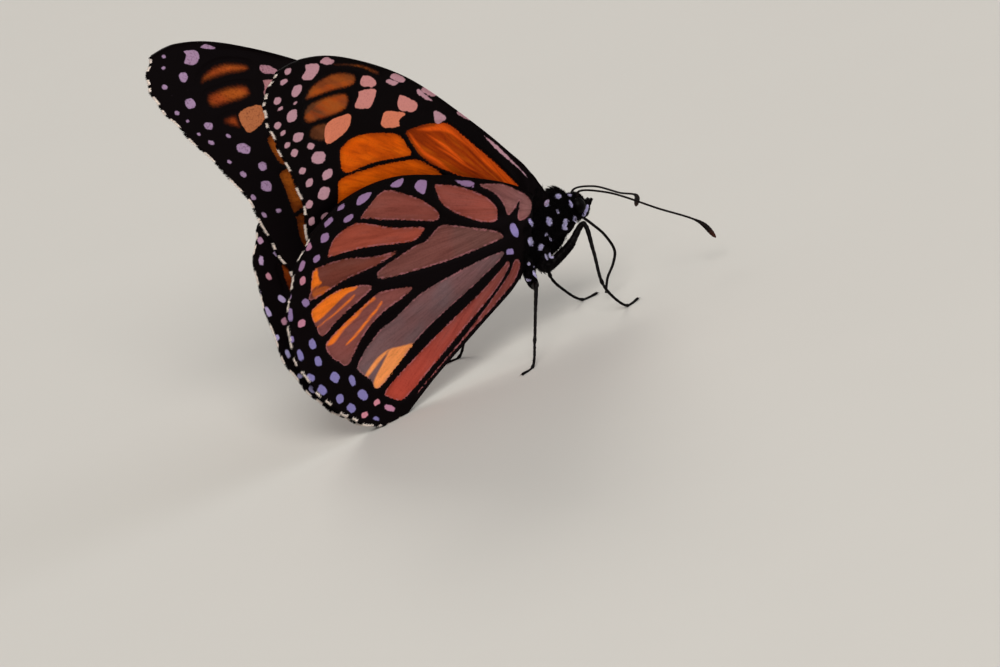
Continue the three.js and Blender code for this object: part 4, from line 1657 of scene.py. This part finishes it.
FORELEG = Limb("foreleg", ((0.6, 1.9, -4.9), (2.2, 1.95, -5.15), (3.9, 1.55, -4.75)), (0.38, 0.3, 0.18),
               TubeHair(900, (0.0, 2.0), (0.25, 0.45), 0.35, 0.035, 0.2), rings=80)
MIDLEG = Limb(
    "midleg",
    ((-1.0, 1.2, -5.8), (-2.2, 1.6, -8.0), (1.2, 2.85, -6.8), (3.7, 4.0, -4.7), (3.2, 5.0, -8.0),
     (2.3, 6.0, -11.8), (3.3, 5.6, -14.3), (5.0, 5.2, -16.3), (7.0, 4.7, -16.3)),
    (0.85, 0.72, 0.54, 0.34, 0.23, 0.2, 0.18, 0.17, 0.17),
    TubeHair(2200, (0.2, 2.2), (0.3, 0.6), 0.3, 0.04, 0.3),
    rings=240, groove=0.1, spines=34, claws=True, knots=(3, 5, 7))
HINDLEG = Limb(
    "hindleg",
    ((-4.0, 1.2, -5.8), (-4.6, 1.8, -8.3), (-5.8, 4.3, -8.6), (-6.8, 6.5, -7.9), (-8.5, 7.2, -10.6),
     (-10.4, 8.0, -13.6), (-12.2, 8.5, -16.3), (-14.2, 9.1, -16.3)),
    (0.85, 0.66, 0.46, 0.3, 0.21, 0.19, 0.17, 0.16),
    TubeHair(2000, (0.2, 2.0), (0.3, 0.6), 0.3, 0.04, 0.3),
    rings=220, groove=0.1, spines=30, claws=True, knots=(3, 5, 6))


@dataclass
class Antenna:
    """A feeler: a thin ringed shaft that ends in a slender club."""

    left: Course = ((5.8, 0.8, -2.5), (6.6, 0.95, -1.8), (10.3, 2.6, -3.1), (15.2, 5.5, -6.5),
                    (18.6, 7.9, -8.7), (19.0, 9.6, -10.4))
    right: Course = ((5.8, 0.8, -2.5), (6.2, 0.95, -1.7), (9.1, 2.5, -3.0), (13.5, 5.3, -7.0),
                     (17.3, 7.7, -10.6), (17.9, 8.9, -12.8))
    shaft: float = 0.13
    club: float = 0.34
    club_from: float = 0.8
    club_to: float = 0.92
    tip_from: float = 0.93
    root_swell: float = 0.9
    ring_length: float = 0.42
    rings: int = 420
    sides: int = 14

    def build(self, side: Side, finish: Material) -> None:
        """Build the feeler.

        Its shaft swells to the club over the last fifth, and rounds off at the tip. Each ring
        bulges by a rectified sine.

        Args:
            side: which side of the head.
            finish: the feeler's material.
        """
        course = self.left if side is Side.LEFT else self.right
        path, _ = limb_curve(course * side.mirror, self.rings)
        share = np.linspace(0, 1, self.rings)
        rise = np.clip((share - self.club_from) / (self.club_to - self.club_from), 0, 1)
        tip = np.clip((share - self.tip_from) / (1 - self.tip_from), 0, 1)
        ring = np.sin(np.pi * share * lengths_along(path)[-1] / self.ring_length)
        radii = self.shaft + (self.club - self.shaft) * eased(rise)
        radii = radii * np.sqrt(np.clip(1 - tip**2, 0.004, 1)) * (0.9 + 0.12 * np.abs(ring) ** 0.6)
        radii = radii * (1 + self.root_swell * np.exp(-share * 45))
        feeler = tube(f"antenna_rings_{side.letter}", path, radii, self.sides)
        # The tip is lighter: partly the club's own orange-brown, partly a painted highlight.
        shade = np.concatenate([[0], np.clip((share - self.tip_from) / 0.06, 0, 1) * 0.4, [0.4]])
        feeler.marks["light"] = np.repeat(shade, self.sides)
        feeler.build([finish], (f"antenna_{side.letter}",), "limb")


@dataclass
class Mouth:
    """The tongue, of two ringed tubes side by side, and the two hairy palps beside its root."""

    tongue: Course = ((5.7, 0, -4.6), (7.0, 0, -6.5), (8.2, 0, -8.6), (8.75, 0, -11.0), (8.0, 0, -12.3),
                      (6.5, 0, -13.7), (5.6, 0, -15.3))
    tongue_radius: float = 0.15
    tongue_apart: float = 0.11
    tongue_steps: tuple[int, int] = (260, 12)
    palp: Course = ((5.7, 0.5, -4.75), (6.35, 0.56, -4.55), (7.0, 0.48, -4.0), (7.95, 0.38, -3.5))
    palp_radii: tuple[float, ...] = (0.28, 0.3, 0.22, 0.08)
    palp_steps: tuple[int, int] = (60, 18)
    palp_hair: TubeHair = TubeHair(1700, (0.0, 3.0), (0.34, 0.56), 0.7, 0.035, 0.26)

    def build_tongue(self, finish: Material) -> None:
        """Build the tongue: two tubes that thin to their tips, ringed every quarter millimetre.

        Args:
            finish: the tongue's material.
        """
        rings, sides = self.tongue_steps
        path, _ = limb_curve(self.tongue, rings)
        share = np.linspace(0, 1, rings)
        radii = self.tongue_radius * (1.15 - 0.5 * share) * (1 - 0.09 * np.cos(np.pi * share * 52) ** 4)
        outs = (self.tongue_apart, -self.tongue_apart)
        parts = [tube("tube", path + [0, out, 0], radii, sides) for out in outs]
        for part in parts:
            part.marks["light"] = np.full(len(part.places), 0.12)
        joined("tongue_tubes", parts).build([finish], ("proboscis",), "limb")

    def build_palp(self, side: Side, trunk: Trunk, hair: Material) -> None:
        """Build a palp and its hair, which carries on the cheek's white streak.

        Args:
            side: which side of the head.
            trunk: the trunk, whose spots run on over the hair.
            hair: the palp's material.
        """
        rings, sides = self.palp_steps
        course = tapered_curve(self.palp * side.mirror, self.palp_radii, rings)
        core = tube(f"palp_skin_{side.letter}", course[0], course[2], sides)
        core.marks["spot"] = trunk.spot_reach(core.places)
        core.build([hair], (f"palp_{side.letter}",), "fur")
        coat = self.palp_hair.grow(f"palp_hair_{side.letter}", *course, trunk, SEED + 3)
        coat.build([hair], (), "fur")


# -------- studio


@dataclass(frozen=True)
class Lamp:
    """A soft square light: its place and side in metres, its power in watts, and its colour."""

    name: str
    place: Place
    size: float
    power: float
    tint: str

    def build(self) -> None:
        """Add the light, facing the butterfly."""
        data = bpy.data.lights.new(self.name, "AREA")
        data.size = self.size
        data.energy = self.power
        data.color = colour(self.tint)[:3]
        lamp = add_object(self.name, data)
        lamp.location = self.place
        way = Vector((0, 0, 20 * MM)) - lamp.location
        lamp.rotation_euler = way.to_track_quat("-Z", "Y").to_euler()


@dataclass
class Studio:
    """The floor, the lights and the camera."""

    right: Place = (0.78213, -0.53128, -0.32559)
    up: Place = (0.42475, 0.07226, 0.90242)
    frame_width: float = 123.07
    aim_right: float = -3.72
    aim_up: float = -16.42
    lens: float = 800.0
    sensor: float = 36.0
    clip: Span = (0.1, 30.0)
    floor_half: float = 6.0
    room: str = "#9f9e9d"
    below: str = "#c8c5bd"
    lamps: tuple[Lamp, ...] = (
        Lamp("key", (-1.05, -2.25, 2.25), 1.5, 81.0, "#fffaf4"),
        Lamp("fill", (2.7, -1.5, 1.05), 2.1, 27.0, "#f6f8ff"),
        Lamp("back", (0.9, 2.7, 2.1), 1.5, 45.0, "#fffaf2"),
    )

    def camera(self) -> None:
        """Set the camera on the near side, level with the wings, looking a little down, and rolled."""
        right = unit(np.array(self.right))
        up = unit(np.array(self.up) - right * (np.array(self.up) @ right))
        back = np.cross(right, up)
        aim = HINGE + self.aim_right * right + self.aim_up * up
        data = bpy.data.cameras.new("camera")
        data.lens = self.lens
        data.sensor_width = self.sensor
        data.clip_start, data.clip_end = self.clip
        camera = add_object("camera", data)
        pose = np.eye(4)
        pose[:3, :3] = np.stack([right, up, back], axis=1)
        pose[:3, 3] = (aim + back * self.frame_width * self.lens / self.sensor) * MM
        camera.matrix_world = Matrix(pose.tolist())
        bpy.context.scene.camera = camera

    def floor(self, finish: Material) -> None:
        """Lay the floor, a wide flat sheet with its top at the feet.

        Args:
            finish: the floor's material.
        """
        mesh = bpy.data.meshes.new("floor")
        half = self.floor_half
        mesh.from_pydata([(-half, -half, 0), (half, -half, 0), (half, half, 0), (-half, half, 0)], [],
                         [(0, 1, 2, 3)])
        mesh.materials.append(finish)
        add_object("floor", mesh)

    def surround(self) -> None:
        """Light the room evenly, with the floor's own colour carried on below the horizon."""
        world = bpy.data.worlds.new("room")
        world.use_nodes = True
        tree = world.node_tree
        tree.nodes.clear()
        add = partial(add_node, tree)
        rise = add("SeparateXYZ", {0: add("TexCoord", out="Generated")}, out="Z")
        share = add("MapRange", {"Value": rise, "From Min": -0.004, "From Max": 0.004})
        light = add("Mix", {0: share, 6: self.below, 7: self.room}, out=2, data_type="RGBA")
        add("OutputWorld", {"Surface": add("Background", {"Color": light})})
        bpy.context.scene.world = world
        bpy.context.scene.view_settings.view_transform = "Standard"

    def build(self) -> None:
        """Set up the camera, the floor, the lamps and the room."""
        self.camera()
        self.floor(FloorFinish().build())
        for lamp in self.lamps:
            lamp.build()
        self.surround()


# -------- the butterfly


FOREWING_UNDER = WingFinish(
    "forewing_under_scales", cells=("#6c3e24", "#9c3401", "#ac4402", "#e86103", "#ea6002"), cloud="#a03a04",
    glow="#e87810", pale_spot_in_shade="#b099b2", warm_spot="#dc8063", flush="#f45f10", flush_share=0.9,
    cloud_share=0.3, glow_share=0.25, spot_shrink=0.04, dull_soft=0.4, edge_shade=0.35)
# The forewing's upper face, turned in: its orange and spots are painted darker, as painted shade.
FOREWING_UPPER_SHADED = WingFinish(
    "forewing_upper_scales_painted_shade", cells=("#a8481a", "#7c3004", "#8a3a06", "#8e460c", "#8e460c"), cloud="#5a2006",
    glow="#b4641a", pale_spot_in_shade="#9589b8", warm_spot="#a8643e", cloud_share=0.4, glow_share=0.3,
    speck_share=0.8, spot_shrink=0.22, dull_shrink=0.35, dull_soft=0.9, edge_shade=0.5, border=3.0)
# The hindwing's underside: its cells are partly their own buff orange and partly painted shade, in dusky
# salmon to mauve-brown.
HINDWING_UNDER_PART_SHADED = WingFinish(
    "hindwing_under_scales_part_shaded",
    cells=("#a8503e", "#904d43", "#974d42", "#845958", "#733d32", "#7c4a46", "#68443f", "#70585b",
           "#7c4440", "#c24733"),
    cloud="#8a3c34", glow="#7e5450", pale_spot_in_shade="#7e77ad", warm_spot="#cc8494", rim="#b07078", rim_share=0.42,
    cloud_share=0.2, glow_share=0.2, streak_share=0.28, flush_share=0.95, spot_shrink=0.05, edge_shade=0.2)
# The hindwing's upper face, turned in: its orange and spots are painted darker, as painted shade.
HINDWING_UPPER_SHADED = WingFinish(
    "hindwing_upper_scales_painted_shade", cells=("#853404",) * 10, cloud="#5a2006", glow="#b4581a", pale_spot_in_shade="#a8a2d0",
    warm_spot="#b87a86", cloud_share=0.4, glow_share=0.3, cell_shrink=0.2, spot_shrink=0.15,
    edge_shade=0.5, border=4.5)


def main() -> None:
    """Build the studio, then the butterfly from its wings to its feet."""
    logging.basicConfig(level=logging.INFO, format="%(message)s")
    Studio().build()
    # The hair's spots are white with a lavender cast; the cast is painted shade.
    hair = HairFinish("black_insect_hair", "#030102", "#0c0708", "#d6d0f5").build()
    fringe = HairFinish("wing_fringe_scales", "#050203", "#0e0809", "#fff2e6").build()
    shell = ShellFinish("black_chitin", "#030102", "#100a09").build()
    # The feeler's lighter tip colour: partly its own brown, partly a painted highlight.
    feeler = ShellFinish("feeler_chitin", "#040202", "#5a2c1c", mottle=0.08).build()
    eye = EyeFinish("compound_eye", "#020101", "#080505").build()

    pairs = ((FOREWING, FOREWING_UNDER, FOREWING_UPPER_SHADED), (HINDWING, HINDWING_UNDER_PART_SHADED, HINDWING_UPPER_SHADED))
    for plan, under, upper in pairs:
        wing = Wing(plan)
        finishes = [under.build(), upper.build()]
        for side in Side:
            wing.sheet(side, finishes)
            wing.fringe(side, fringe)
            wing.root_hair(side, hair)

    trunk = Trunk()
    trunk.skin(hair)
    for coat in trunk.coats:
        trunk.grow(coat, hair)
    mouth = Mouth()
    mouth.build_tongue(shell)
    for side in Side:
        Eye().build(side, eye)
        Antenna().build(side, feeler)
        mouth.build_palp(side, trunk, hair)
        for limb in (FORELEG, MIDLEG, HINDLEG):
            limb.build(side, trunk, shell, hair)


if __name__ == "__main__":
    main()
